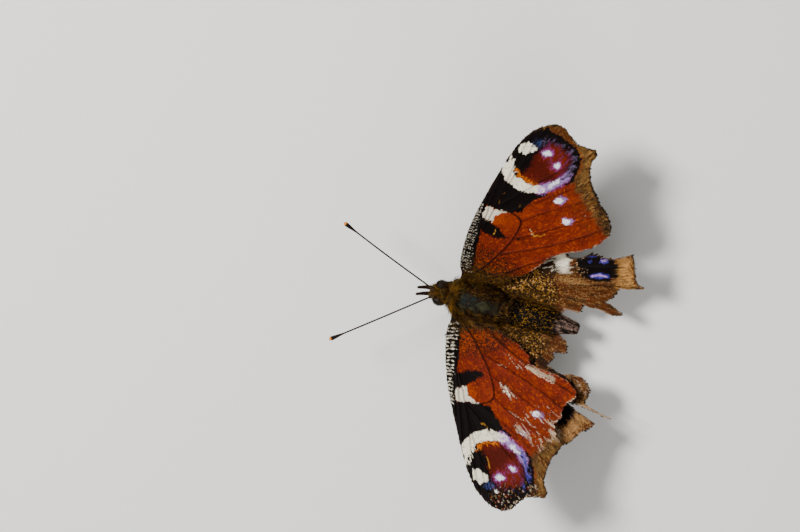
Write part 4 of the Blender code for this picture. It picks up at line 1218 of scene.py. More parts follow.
def wear_right_forewing(p, tint):
    """Scratches of the right forewing, and its pale torn rear edge."""
    marks = FOREWING_MARKS
    p.lay(0.9 * p.along(marks.hook, 0.07, 0.12), tint.gold * 1.4)
    p.lay(0.7 * p.along(marks.hook_light, 0.05, 0.1), tint.bare * 1.4)
    p.lay(0.9 * p.along(marks.golden_tick, 0.05, 0.1), tint.gold * 1.8)
    p.lay(0.7 * p.within(oval(*marks.sooty_spot), 0.25), tint.soot)
    for path in marks.nicks:
        p.lay(0.6 * p.along(path, 0.05, 0.1), tint.gold * 0.8)
    p.lay(0.5 * p.along(marks.margin_hook, 0.02, 0.12), tint.bare)
    torn_edge = p.along(p.wing.torn[2:], 0.13, 0.25)
    p.lay(0.7 * torn_edge * p.flecks(0.35, 0.6, 32), tint.bare * 0.8)


def paint_hindwing_top(wing, flat, tint, mosaic):
    """The upper side of a hindwing: speckled base, pale patch, black eyespot and tan margin."""
    marks = HINDWING_MARKS
    p = Painter(wing, flat, tint.bark, 60 + wing.seed, mosaic)
    shade = grain(flat, 1.8, 9) * 0.5 + grain(flat, 0.7, 10) * 0.5
    p.lay((0.5 - shade) * 1.2, tint.umber)
    p.lay(shade - 0.45, tint.rust * 0.8)
    p.lay(0.55 * p.streaks(0.4, 57, 0.8), tint.umber * 1.2)
    p.lay(0.45 * p.streaks(0.4), tint.tan * 1.1)
    p.lay(0.4 * p.flecks(0.16, 0.28, 55), tint.tan * 1.5)
    p.lay(p.within(marks.base, 1.6, 0.5), tint.soot)
    p.lay(0.12 * p.within(marks.base, 2.0, 0.5), tint.gold * 0.7)
    bright_gold = tint.gold * 1.2 + tint.cream * 0.08
    p.lay(0.95 * p.within(marks.base, 2.0, 0.5) * p.flecks(0.15, 0.35, 58), tint.gold * 0.8)
    p.lay(0.95 * p.within(marks.base, 1.8, 0.5) * p.flecks(0.14, 0.23, 59), bright_gold)
    p.lay(0.15 * p.within(marks.base_edge, 1.4, 0.4), tint.rust)
    # pale patch beside the eyespot, with hair-like streaks
    p.lay(0.7 * p.within(marks.tan_patch, 1.1, 0.6), tint.tan * 1.5)
    p.lay(p.within(marks.pale_patch, 0.8, 0.6), tint.cream * 0.95, blend=True)
    p.lay(0.8 * p.within(marks.patch_shade, 0.8, 0.4), tint.umber)
    p.lay(0.7 * p.within(marks.patch_streaks, 0.6, 0.5) * p.streaks(0.38), tint.cream * 0.6)
    # the eyespot
    p.lay(p.within(marks.eyespot, 0.5, 0.5), tint.black)
    p.lay(0.9 * p.within(marks.blue_bar, 0.25), tint.blue, 0.8)
    p.lay(0.9 * p.along(marks.lilac_bar, 0.14, 0.2), tint.lilac * 1.2, 0.5)
    for spot, share in zip(marks.blue_spots, (0.9, 0.6, 0.45)):
        p.lay(share * p.within(oval(*spot), 0.3), tint.blue, 0.8)
    p.lay(0.85 * p.within(oval(*marks.lilac_spot), 0.2), tint.lilac * 0.9, 0.5)
    # a fan of fine golden hairs before it
    for k in range(7):
        start = np.array((12.1 + 0.22 * k, 3.9 - 0.36 * k))
        end = start + (1.5 + 0.25 * math.sin(5 * k), -0.35 + 0.12 * k)
        p.lay(0.95 * p.along([start, end], 0.015, 0.09, 0.03), tint.gold * 1.1 + 0.2 * tint.cream)
    # tan margin with its dark outer edge
    margin_tint = tint.tan * ((1.9, 1.9, 2.0) if p.left else (2.7, 2.6, 2.2))
    p.lay(p.within(marks.tan_margin, 1.2, 0.5), margin_tint, blend=True)
    p.lay(0.6 * p.within(marks.tan_margin, 0.8) * p.streaks(0.45), tint.tan * 1.2)
    p.lay(0.4 * p.within(marks.tan_margin, 0.8) * p.streaks(0.35, 31), tint.bark * 1.3)
    p.lay(0.35 * p.within(marks.tan_margin, 0.8) * p.flecks(0.3, 0.4, 49), tint.bark)
    p.lay(0.7 * p.within(marks.margin_rim, 0.8, 0.4), tint.bark)
    p.lay(0.7 * p.along(wing.margin_edge, 0.1, 0.25, 0.2), tint.umber)
    p.lay(0.8 * p.along(marks.long_vein, 0.09, 0.15), tint.umber)
    p.lay(0.6 * p.along(marks.lobe_edge, 0.3, 0.5), tint.umber)
    lay_veins(p, tint, 0.35)
    if p.left:
        p.lay(0.85 * p.along(marks.tail_edge, 0.13, 0.2), tint.bare * 0.8)
        p.lay(0.6 * p.within(marks.costal_wear, 0.6) * p.flecks(0.4, 0.6, 47), tint.bare * 1.2)
        p.lay(0.3 * p.within(marks.lobe_wear, 0.5) * p.flecks(0.3, 0.5, 48), tint.bare)
        # painted shadow of the forewing's rear edge, laid as soot on the left hindwing
        p.lay(0.7 * p.within(marks.forewing_shadow, 0.4), tint.soot)
    return p


def paint_under(wing, flat, tint, mosaic):
    """The underside: charred brown with fine wavy cross-streaks, paler towards the margin."""
    p = Painter(wing, flat, tint.under, 80 + wing.seed, mosaic)
    reach = np.hypot(*(flat - np.array(FAN[wing.kind])).T)
    wave = np.sin(reach * math.tau / 0.55 + 3.0 * grain(flat, 1.6, 51) + 1.5 * np.sin(flat[:, 1] * 1.4))
    p.lay(ramp(wave * 0.8) * (0.25 + 0.5 * grain(flat, 2.0, 52)), tint.under_pale)
    share = ramp((reach - (23 if wing.kind == "forewing" else 13)) / 2.5)
    p.lay(0.35 * share * (0.4 + 0.6 * grain(flat, 0.6, 53)), tint.under_pale)
    p.lay(0.8 * p.along(wing.margin_edge, 0.3, 0.4), tint.soot)
    lay_veins(p, tint, 0.5)
    return p


# The function that paints each kind of wing from above.
PAINT_TOP = {"forewing": paint_forewing_top, "hindwing": paint_hindwing_top}


def rubbed(wing, flat):
    """Share of scales missing: at the torn edges, and in the rubs of the left forewing."""
    lost = 0.75 * ramp(1 - distance_to(flat, wing.torn) / 0.35)
    if wing.name == "forewing_left":
        lost = np.maximum(lost, 0.9 * ramp(1.4 - distance_to(flat, FOREWING_MARKS.bare_strip) / 0.35))
        lost = np.maximum(lost, ramp(0.5 + depth_in(flat, oval(*HOLE)) / 0.25))
        lost = np.maximum(lost, 0.5 * ramp(0.5 + depth_in(flat, oval(*FOREWING_MARKS.bare_rub)) / 0.3))
    return lost


def scale_roots(wing, row_pitch, scale_pitch):
    """Flat roots of the scales, in staggered rows that fan out from the wing's base."""
    fan = np.array(FAN[wing.kind])
    corners = wing.outline - fan
    reach, turn = np.hypot(*corners.T), np.arctan2(corners[:, 1], corners[:, 0])
    first_turn, last_turn = turn[reach > 4].min(), turn[reach > 4].max()
    rows = []
    for k, radius in enumerate(np.arange(1.5, reach.max(), row_pitch)):
        step = scale_pitch / radius
        angles = np.arange(first_turn - step, last_turn + step, step) + (k % 2) * step / 2
        rows.append(np.stack([np.cos(angles), np.sin(angles)], 1) * radius + fan)
    roots = np.vstack(rows)
    roots += wing.rng.normal(0, 0.12 * scale_pitch, roots.shape)
    roots = roots[depth_in(roots, wing.outline) > 0.02]
    out = roots @ np.array((math.cos(wing.sweep), math.sin(wing.sweep)))
    roots = roots[out > (0.0 if wing.kind == "forewing" else -0.6)]
    return roots[wing.rng.random(len(roots)) > rubbed(wing, roots)]


def make_scales(wing, settings, face):
    """The coat of scales on one face of a wing, row over row like roof tiles."""
    top = face > 0
    row_pitch = settings.row_pitch if top else settings.under_pitch * 1.1
    scale_pitch = settings.scale_pitch if top else settings.under_pitch
    size = scale_pitch / settings.scale_pitch
    roots = scale_roots(wing, row_pitch, scale_pitch)
    painter = (PAINT_TOP[wing.kind] if top else paint_under)(wing, roots, settings, True)
    count = len(roots)
    rng = wing.rng
    turn = rng.normal(0, math.radians(7), count)[:, None]
    heading = wing.flow(roots) * np.cos(turn) + left_of(wing.flow(roots)) * np.sin(turn)
    start = wing.surface(roots, face)
    ahead = unit(wing.surface(roots + heading * 0.05, face) - start)
    beside = unit(wing.surface(roots + left_of(heading) * 0.05, face) - start)
    normal = np.cross(ahead, beside)
    normal *= np.sign((normal @ wing.up) * face)[:, None]
    lengths = settings.scale_length * size * rng.uniform(0.85, 1.15, count)
    widths = settings.scale_width * size * rng.uniform(0.85, 1.15, count)
    lifts = SCALE_LIFT * size * rng.uniform(0.6, 1.5, count)
    shade = rng.normal(1.0, 0.13, count)[:, None]
    paint = np.column_stack([ramp(painter.colours * shade), painter.gleam])
    add_coat(
        f"scales_{wing.name}_{'top' if top else 'under'}", SCALE, start + normal * 0.008, ahead, normal,
        lengths, widths, lifts, paint, wing.places(roots),
    )


def make_membrane(wing, settings):
    """The wing's own skin under the scales, with raised veins, painted with the same markings."""
    flat, faces = membrane_layout(wing)
    count = len(flat)
    top = PAINT_TOP[wing.kind](wing, flat, settings, False).colours
    under = paint_under(wing, flat, settings, False).colours
    lay_over(top, ramp(rubbed(wing, flat) * 1.2) * 0.7, settings.bare)
    walls = boundary_edges(faces)
    walls = np.stack([walls[:, 1], walls[:, 0], walls[:, 0] + count, walls[:, 1] + count], 1)
    add_piece(
        f"membrane_{wing.name}", np.vstack([wing.surface(flat, 1), wing.surface(flat, -1)]),
        [faces, faces[:, ::-1] + count, walls], "membrane", "wing_scales", np.vstack([top, under]),
        replaces=[wing.name],
    )


# The body's profile at close steps along Y.
BODY_Y, BODY_WIDTH, BODY_HEIGHT, BODY_MIDDLE = smooth_curve(BODY_PROFILE, 0.08).T


def abdomen_rings(y):
    """How many of the abdomen's rings lie in front of y."""
    return (y - ABDOMEN_FRONT) / (ABDOMEN_BACK - ABDOMEN_FRONT) * ABDOMEN_RINGS


def back_plate(y, side):
    """Above zero inside the diamond-shaped plate on the back of the thorax. side is 0 on the midline."""
    return 1 - side / 0.5 - np.abs(y - 1.05) / 1.4


def body_relief(y, turn):
    """Plates and grooves of the skin. turn is 0 at the left side and a quarter turn at the top."""
    top = np.sin(turn)
    side = np.abs(np.cos(turn))
    ring = abdomen_rings(y)
    on_abdomen = ramp((y - ABDOMEN_FRONT) / 0.4) * ramp((ABDOMEN_BACK - y) / 0.5)
    share = ring - np.floor(ring)
    relief = on_abdomen * (0.05 * share - 0.06 * np.exp(-(share / 0.09) ** 2))
    relief -= 0.05 * on_abdomen * np.exp(-((side - 0.9) / 0.08) ** 2)
    on_back = ramp(top * 2 - 0.6)
    middle = np.exp(-(np.cos(turn) / 0.05) ** 2) * ramp((-0.2 - y) * 3) * ramp((y + 3.4) * 2)
    relief -= 0.07 * on_back * middle
    plate = back_plate(y, side)
    relief = relief - 0.09 * on_back * np.exp(-(plate / 0.1) ** 2) + 0.06 * on_back * ramp(plate * 3)
    relief -= 0.08 * on_back * np.exp(-((y - 3.2) / 0.12) ** 2)
    lobe = -1.5 + 2.2 * side
    relief -= 0.05 * on_back * np.exp(-((y - lobe) / 0.12) ** 2) * (plate < 0)
    return relief


def body_point(y, turn, raised=0.0):
    """Points on the skin at y, turned round its axis."""
    grown = body_relief(y, turn) + raised
    wide = np.interp(y, BODY_Y, BODY_WIDTH) + grown
    high = np.interp(y, BODY_Y, BODY_HEIGHT) + grown
    x = wide * np.cos(turn) + np.maximum(0, NECK_Y - y) * HEAD_TURN
    return np.stack([x, y, np.interp(y, BODY_Y, BODY_MIDDLE) + high * np.sin(turn)], 1)


def body_normal(y, turn):
    """The skin's outward direction at y and turn."""
    ahead = body_point(y + 0.03, turn) - body_point(y - 0.03, turn)
    around = body_point(y, turn + 0.02) - body_point(y, turn - 0.02)
    return unit(np.cross(ahead, around))


def paint_body(y, turn, tint):
    """The colour of the skin and its coat: brown sides, slate back, black speckled abdomen, ashy tip."""
    flat = np.stack([y, turn * 1.6], 1)
    top = np.sin(turn)
    side = np.abs(np.cos(turn))
    back = ramp((top - 0.8) * 9) * ramp((y + 3.5) * 1.6) * ramp((3.6 - y) * 2)
    plate = back_plate(y, side) * (top > 0)
    flanks = ramp((y - 4.0) * 1.5) * ramp(1.6 - np.abs(top + 0.05) * 4) * ramp((11 - y) * 0.5)
    ridges = grain(np.stack([y, turn * 9], 1) * (0.4, 1), 0.5, 64)
    ring = abdomen_rings(y)
    seam = np.exp(-(np.minimum(ring % 1, 1 - ring % 1) / 0.09) ** 2)
    colours = np.tile(tint.brown, (len(y), 1))
    for share, mark in (
        # dark mottling, more of it on the head, and the golden collar
        (0.5 * (0.55 - grain(flat, 0.45, 61)) * 3, tint.dark),
        ((y < NECK_Y) * 4.0 * (0.45 - grain(flat, 0.45, 62)), tint.dark),
        (0.7 * ramp(1 - np.abs(y + 3.6) / 0.9) * (0.3 + 0.9 * grain(flat, 0.4, 63)), tint.golden),
        # the dark back of the thorax, its slate middle and its olive plate
        (back * 0.9, tint.dark),
        (back * ramp((0.4 - y) * 2) * (0.1 + 1.2 * grain(flat, 0.6, 66)), tint.slate),
        (plate * 7, tint.olive * 0.8),
        # the lighter olive blotches are partly the plate's own mottle and partly a painted highlight on
        # its cuticle
        (plate * 3 * (grain(flat, 0.4, 67) - 0.4), tint.olive * 1.5),
        (0.8 * back * np.exp(-((y - 2.75) / 0.35) ** 2), tint.olive * 0.7),
        # the black abdomen, its brown flanks and its ashy tip
        (ramp((y - 3.7) * 1.5) * ramp((top + 0.35) * 3), tint.dark * 0.6),
        (flanks, tint.brown),
        (ramp((y - 10.9) * 0.8) * (3.4 * ridges - 1.1) * (1 - 0.9 * seam), tint.ash),
    ):
        lay_over(colours, share, mark)
    return colours


def make_body_skin(tint):
    """One skin for head, thorax and abdomen."""
    rows, sides = 220, 96
    stations = np.interp(np.linspace(0, 1, rows), np.linspace(0, 1, len(BODY_Y)), BODY_Y)
    y = np.repeat(stations, sides)
    turn = np.tile(np.linspace(0, math.tau, sides, endpoint=False), rows)
    add_piece(
        "body_skin", body_point(y, turn), closed_grid(rows, sides), "cuticle", "dark_cuticle",
        paint_body(y, turn, tint), replaces=["head", "thorax", "abdomen"],
    )


def spread(count, y_low, y_high, rng):
    """Even places on the skin between two stations: y and turn."""
    y = rng.uniform(y_low, y_high, count * 3)
    size = np.interp(y, BODY_Y, BODY_WIDTH)
    kept = rng.random(len(y)) < size / size.max()
    y = y[kept][:count]
    return y, rng.uniform(0, math.tau, len(y))


def make_fur(name, y, turn, lie, lengths, lifts, widths, colours, rng, locks=1.0):
    """Tufts on the body that follow the lie of the coat and lean together in locks."""
    roots = body_point(y, turn, -0.03)
    normal = body_normal(y, turn)
    flat = np.stack([y, turn * 1.8], 1)
    sway = np.stack([grain(flat, 0.4, 210 + k) for k in range(3)], 1) - 0.5
    lie = lie + rng.normal(0, 0.18, lie.shape) + sway * 1.6 * locks
    along = unit(lie - normal * (lie * normal).sum(1)[:, None])
    lock = grain(flat, 0.3, 214) * locks
    lengths, lifts = lengths * (1 - 0.3 * locks + 0.6 * lock), lifts * (1 - 0.4 * locks + 0.8 * lock)
    shade = (rng.normal(1.0, 0.22, len(y)) * (1 - 0.5 * locks + lock))[:, None]
    places = np.stack([(turn % math.tau) / math.tau * 0.98 + 0.01, (y + 7.3) / 22.5], 1)
    add_coat(name, HAIR, roots, along, normal, lengths, widths, lifts, ramp(colours * shade), places)


def make_thorax_fur(tint):
    """Long hair on the sides, a ruff round the neck, golden shoulder tufts, a short nap on the back."""
    rng = np.random.default_rng(201)
    y, turn = spread(tint.thorax_hairs, -4.5, 4.7, rng)
    extra = rng.uniform(-4.5, -3.3, tint.thorax_hairs // 4)
    y, turn = np.concatenate([y, extra]), np.concatenate([turn, rng.uniform(0, math.tau, len(extra))])
    top, side, count = np.sin(turn), np.abs(np.cos(turn)), len(y)
    bare_back = ramp((top - 0.8) * 7) * ramp((y + 3.2) * 1.5) * ramp((3.4 - y) * 2)
    kept = rng.random(count) > 0.1 * bare_back
    y, turn, top, side, bare_back = y[kept], turn[kept], top[kept], side[kept], bare_back[kept]
    count = len(y)
    lie = np.stack([np.cos(turn) * 0.25, np.full(count, 1.0), -0.35 + 0.2 * top], 1)
    collar = ramp((-3.3 - y) * 1.6)
    shoulder = np.exp(-((y + 3.2) / 0.8) ** 2) * ramp(side * 3 - 1.2) * (top > -0.4)
    lie[:, 0] += (0.8 * collar + 2.2 * shoulder) * np.cos(turn)
    lie[:, 1] -= 1.5 * collar
    lie[:, 2] += 0.5 * collar * top
    # long hair closes the joint between the thorax and the wings
    veil = np.exp(-((y - 0.6) / 1.5) ** 2) * ramp(1.2 - np.abs(top - 0.25) * 2.2)
    lie[:, 0] += 1.5 * veil * np.sign(np.cos(turn))
    lie[:, 2] += 0.3 * veil
    lengths = tint.hair_length * (1 - 0.7 * bare_back) * rng.uniform(0.6, 1.0, count)
    lengths *= (1 + 0.2 * collar) * (1 + 0.4 * shoulder) * (1 + 0.8 * veil)
    lifts = lengths * (0.36 - 0.22 * bare_back + 0.35 * collar + 0.2 * shoulder)
    lifts *= rng.uniform(0.5, 1.2, count)
    widths = tint.hair_width * rng.uniform(0.8, 1.6, count)
    colours = paint_body(y, turn, tint)
    colours = swapped(colours, (0.22 + 0.45 * shoulder) * (1 - 0.8 * bare_back), tint.golden, rng)
    colours = swapped(colours, 0.2, tint.dark, rng)
    colours = swapped(colours, 0.3 * bare_back * (back_plate(y, side) < 0), tint.brown * 0.8, rng)
    make_fur("fur_thorax", y, turn, lie, lengths, lifts, widths, colours, rng)


def make_head_fur(tint):
    """Short bristling hair over the face and between the eyes."""
    rng = np.random.default_rng(202)
    y, turn = spread(tint.head_hairs, -6.95, -4.2, rng)
    face = rng.uniform(-6.985, -6.4, tint.head_hairs // 8)
    y, turn = np.concatenate([y, face]), np.concatenate([turn, rng.uniform(0, math.tau, len(face))])
    places = body_point(y, turn)
    keep = np.ones(len(y), bool)
    for side in SIGN:
        keep &= np.linalg.norm((places - head_spot(EYE_PLACE, side)) / EYE_RADIUS, axis=1) > 0.97
    y, turn = y[keep], turn[keep]
    count = len(y)
    front = ramp((-5.7 - y) * 1.4)
    lie = np.stack([np.cos(turn) * 0.5, 0.7 - 1.9 * front, 0.55 * np.sin(turn) + 0.3 * front], 1)
    lengths = 0.56 * rng.uniform(0.6, 1.2, count)
    lifts = lengths * rng.uniform(0.45, 0.95, count)
    widths = tint.hair_width * rng.uniform(0.8, 1.3, count)
    colours = swapped(paint_body(y, turn, tint), 0.22, tint.golden, rng)
    make_fur("fur_head", y, turn, lie, lengths, lifts, widths, colours, rng)


def make_abdomen_fur(tint):
    """Short flat scales on the abdomen's back, longer hair at its front, on its flanks and at its tip."""
    rng = np.random.default_rng(203)
    y, turn = spread(tint.abdomen_hairs, 4.0, 14.45, rng)
    count = len(y)
    top = np.sin(turn)
    lie = np.stack([np.cos(turn) * 0.1, np.full(count, 1.0), np.zeros(count)], 1)
    front = ramp((6.2 - y) / 2)
    flank = ramp(1.3 - np.abs(top + 0.1) * 4) * ramp((11.5 - y) * 0.5)
    tip = ramp(y - 13.0)
    lengths = (0.24 + 0.45 * front + 0.3 * tip + 0.4 * flank) * rng.uniform(0.7, 1.2, count)
    lifts = (0.05 + 0.18 * front + 0.12 * flank + 0.08 * tip) * rng.uniform(0.5, 1.4, count)
    widths = (0.1 - 0.03 * np.maximum(front, flank) - 0.03 * tip) * rng.uniform(0.8, 1.3, count)
    colours = paint_body(y, turn, tint)
    glint = ramp(top * 3 + 1.6) * ramp(12.0 - y) * ramp(y - 4.6)
    cluster = ramp((grain(np.stack([y, turn * 1.6], 1), 0.15, 68) - 0.56) * 8)
    speck = (rng.random(count) < (0.05 + 0.45 * cluster) * glint)[:, None]
    colours = np.where(speck, tint.golden * rng.uniform(0.6, 3.0, count)[:, None], colours)
    # pale and black tufts of the tip stand in blotches: its own lilac-grey and black hair, with the
    # brightest ash tufts partly painted highlights and the black tufts partly painted shade in the gaps
    # between tufts
    blotches = grain(np.stack([y * 0.7, turn * 1.6], 1), 0.32, 69)
    luck = ramp(0.35 * rng.random(count) + 1.1 * blotches - 0.22)
    tail = np.clip((y - 11.0) * 0.35, 0, 0.42)
    colours = np.where((luck < tail)[:, None], tint.ash * rng.uniform(0.7, 2.6, count)[:, None], colours)
    colours = np.where((luck > 1 - tail)[:, None], tint.dark, colours)
    make_fur("fur_abdomen", y, turn, lie, lengths, lifts, widths, colours, rng, 0.4)


def make_wing_hair(wing, settings, tint):
    """Long fine hair over the base and the inner field of a wing, and a short fringe on its margin."""
    rng = np.random.default_rng(220 + wing.seed)
    count = tint.wing_hairs
    if wing.kind == "forewing":
        field = np.stack([rng.exponential(1.3, count) - 1.7, rng.uniform(-5.2, 1.2, count)], 1)
        edge = smooth_curve(wing.margin, 0.05)
        # a skirt of hair hangs from the rear edge over the joint with the hindwing
        skirt = np.repeat(smooth_curve(FOREWING_DORSUM, 0.04), 4, 0)
        skirt = skirt[skirt[:, 0] < 3.2]
        skirt = skirt + rng.normal(0, 0.15, skirt.shape)
        skirt = skirt[depth_in(skirt, wing.outline) > 0.0]
    else:
        field = np.stack([rng.uniform(-0.2, 10.0, count), rng.uniform(-5.3, -1.0, count)], 1)
        edge = straight_run(wing.margin_edge, 0.05)
        skirt = field[:0]
    field = field[depth_in(field, wing.outline) > 0.1]
    edge = edge[depth_in(edge, wing.outline) > -0.1]
    edge = edge - wing.flow(edge) * 0.12
    row = np.repeat([0, 1, 2], [len(field), len(skirt), len(edge)])
    hanging, fringe = row == 1, row == 2
    roots = np.vstack([field, skirt, edge])
    count = len(roots)
    heading = np.where(hanging[:, None], (-0.35, -1.0), wing.flow(roots))
    heading = heading + rng.normal(0, 0.14, roots.shape)
    start = wing.surface(roots, 1)
    ahead = unit(wing.surface(roots + unit(heading) * 0.1, 1) - start)
    lengths = np.where(fringe, rng.uniform(0.25, 0.42, count), rng.uniform(0.5, 1.1, count))
    lifts = rng.uniform(0.06, 0.26, count) * np.clip(1.4 - roots[:, 0] / 8, 0.4, 1)
    lengths = np.where(hanging, rng.uniform(0.7, 1.3, count), lengths)
    lifts = np.where(row > 0, rng.uniform(-0.08, 0.04, count), lifts)
    mix = rng.random(count)[:, None]
    colours = tint.brown * (1 - mix) + tint.golden * mix * 0.8
    colours = np.where(fringe[:, None], settings.tan * (0.3 + 1.2 * mix), colours)
    colours = swapped(colours, 0.3, tint.dark, rng)
    add_coat(
        f"hair_{wing.name}", HAIR, start, ahead, np.tile(wing.up, (count, 1)), lengths,
        np.where(fringe, 0.06, 0.045), lifts, colours, wing.places(roots),
    )


def head_spot(point, side):
    """A point of the head on one side, shifted by the head's turn."""
    x, y, z = point
    return np.array((x * SIGN[side] + max(0.0, NECK_Y - y) * HEAD_TURN, y, z))


def make_eye(side, tint):
    """A bulging compound eye with its short bristles."""
    rows, columns = 40, 56
    tilt = np.repeat(np.linspace(0.02, math.pi - 0.02, rows), columns)
    turn = np.tile(np.linspace(0, math.tau, columns, endpoint=False), rows)
    ball = np.stack([np.cos(tilt), np.sin(tilt) * np.cos(turn), np.sin(tilt) * np.sin(turn)], 1)
    centre, radius = head_spot(EYE_PLACE, side), np.array(EYE_RADIUS) * 0.96
    spots = grain(np.stack([turn, tilt], 1), 0.35, 71)[:, None]
    add_piece(
        f"compound_eye_{side}", ball * radius + centre, closed_grid(rows, columns), "eye", "compound_eye",
        tint.eye * (0.7 + 0.9 * spots), replaces=[f"eye_{side}"],
    )
    rng = np.random.default_rng(240 + (side == "right"))
    normal = unit(rng.normal(0, 1, (EYE_BRISTLES, 3)))
    normal = normal[normal[:, 0] * SIGN[side] > -0.1]
    count = len(normal)
    lie = unit(np.cross(normal, np.cross(np.tile((0.0, 1.0, 0.3), (count, 1)), normal)))
    round_eye = np.arctan2(normal[:, 2], normal[:, 1]) / math.tau + 0.5
    places = np.stack([round_eye, normal[:, 0] * 0.45 + 0.5], 1)
    lengths = rng.uniform(0.06, 0.14, count)
    lifts = rng.uniform(0.08, 0.2, count)
    add_coat(
        f"eye_bristles_{side}", HAIR, centre + normal * radius, lie, normal,
        lengths, 0.026, lifts, tint.brown * 0.7, places,
    )


def make_antenna(side, tint):
    """A jointed shaft with a pale ring at each joint, swelling into the club and its pale tip."""
    base = head_spot(ANTENNA_BASE, side)
    tip = np.array(ANTENNA_TIPS[side])
    middle = (base + tip) / 2 + (0, 0, ANTENNA_SAG)
    path = smooth_curve([base + (base - middle) * 0.03, middle, tip], 0.06)
    travelled = travelled_along(path)
    total = travelled[-1]
    joint = travelled / total * ANTENNA_JOINTS % 1
    swell = ramp(1 - (total - travelled) / CLUB_LENGTH)
    swell = swell * swell * (3 - 2 * swell)
    rounding = np.sqrt(np.clip((total - travelled) / 0.35, 0.02, 1))
    radii = (0.115 + 0.2 * swell) * (1 + 0.09 * np.sin(math.pi * joint)) * rounding
    # the stout first joint and the bead after it
    joint_swell = 0.14 * np.exp(-((travelled - 0.15) / 0.22) ** 2)
    bead_swell = 0.07 * np.exp(-((travelled - 0.62) / 0.12) ** 2)
    radii += joint_swell + bead_swell
    colours = np.tile(tint.feeler, (len(path), 1))
    for share, mark in (
        (ramp(1 - joint / 0.22) * (1 - swell) * 0.75, tint.feeler_ring), (swell, tint.dark),
        (ramp((travelled - total + 0.45) / 0.15), tint.club_tip),
    ):
        lay_over(colours, share, mark)
    add_piece(
        f"feeler_{side}", *tube(path, radii, LIMB_SIDES), "cuticle", "antenna_cuticle",
        tube_paint(colours, LIMB_SIDES), replaces=[f"antenna_{side}"],
    )


def hairs_on_path(name, path, radii, count, seed, hair_length, width, lean, colours):
    """Short hair all round a path, leaning towards its end."""
    rng = np.random.default_rng(seed)
    share = rng.uniform(0, 1, count)
    index = share * (len(path) - 1)
    low = np.clip(np.floor(index).astype(int), 0, len(path) - 2)
    part = (index - low)[:, None]
    spot = path[low] * (1 - part) + path[low + 1] * part
    radius = np.interp(index, np.arange(len(path)), radii)
    ahead = unit(path[low + 1] - path[low])
    turn = rng.uniform(0, math.tau, count)
    across = unit(np.cross(ahead, (0.0, 0.05, 1.0)))
    normal = across * np.cos(turn)[:, None] + np.cross(across, ahead) * np.sin(turn)[:, None]
    roots = spot + normal * radius[:, None] * 0.9
    lengths = hair_length * rng.uniform(0.6, 1.1, count)
    shade = rng.normal(1, 0.18, count)[:, None]
    colours = ramp(np.array(colours)[rng.integers(0, len(colours), count)] * shade)
    places = np.stack([turn / math.tau * 0.98 + 0.01, share * 0.97 + 0.01], 1)
    add_coat(name, HAIR, roots, ahead, normal, lengths, width, lengths * lean, colours, places)


def make_palp(side, tint):
    """A palp in front of the face, dark and pointed under its bristly scales."""
    root, tip = head_spot(PALP_ROOT, side), head_spot(PALP_TIP, side)
    middle = (root + tip) / 2 + (0, -0.15, -0.2)
    path = smooth_curve([root, middle, tip - (tip - middle) * 0.08], 0.06)
    radii = 0.2 * (1 - 0.8 * np.linspace(0, 1, len(path)) ** 2)
    add_piece(
        f"palp_core_{side}", *tube(path, radii, 12), "cuticle", "brown_fur", tint.dark,
        replaces=[f"palp_{side}"],
    )
    hairs_on_path(
        f"palp_fur_{side}", path, radii, PALP_HAIRS, 260 + (side == "right"), 0.5, 0.05, 0.3,
        [tint.dark, tint.brown * 0.5, tint.feeler],
    )


def make_tongue(tint):
    """The ringed tongue wound up under the head."""
    outer, inner = TONGUE_COIL
    share = np.linspace(0, 1, 150)
    angle = math.radians(70) - math.tau * TONGUE_TURNS * share
    radius = outer + (inner - outer) * share
    coil = np.stack([0 * share, -radius * np.cos(angle), radius * np.sin(angle)], 1)
    path = np.array(TONGUE_CENTRE) + coil
    path[:, 0] += np.maximum(0, NECK_Y - path[:, 1]) * HEAD_TURN
    radii = (0.135 - 0.05 * share) * (1 + 0.12 * np.abs(np.sin(share * math.pi * TONGUE_RINGS)))
    add_piece(
        "tongue", *tube(path, radii, 12, (1.0, 0.0, 0.0)), "cuticle", "dark_cuticle", tint.feeler * 1.3,
        replaces=["proboscis"],
    )


def make_claws(toe, heel):
    """Two curved claws at the end of a foot, as tubes."""
    ahead = unit(toe - heel)
    beside = unit(np.cross(ahead, (0, 0, 1.0)))
    claws = []
    for way in (-1, 1):
        bend = toe + ahead * 0.2 + beside * way * 0.1 + (0, 0, 0.03)
        claw = smooth_curve([toe, bend, toe + ahead * 0.32 + beside * way * 0.14 - (0, 0, 0.1)], 0.05)
        claws.append(tube(claw, np.linspace(0.05, 0.012, len(claw)), 8))
    return claws


def make_spines(path, radii, spots, travelled):
    """A pair of spines at each spot on a leg, as tubes."""
    rng = np.random.default_rng(280)
    spines = []
    for spot in spots:
        k = int(np.argmin(np.abs(travelled - spot)))
        along = unit(path[k + 1] - path[k])
        for way in (-1, 1):
            out = unit(unit(np.cross(along, (0, 0, 1.0))) * way + along * 0.9 - np.array((0, 0, 0.25)))
            root = path[k] + out * radii[k] * 0.7
            end = root + out * 0.28 * rng.uniform(0.8, 1.1)
            end[2] = max(end[2], FLOOR_Z + 0.03)
            spines.append(tube([root, (root + end) / 2, end], [0.028, 0.02, 0.006], 6))
    return spines


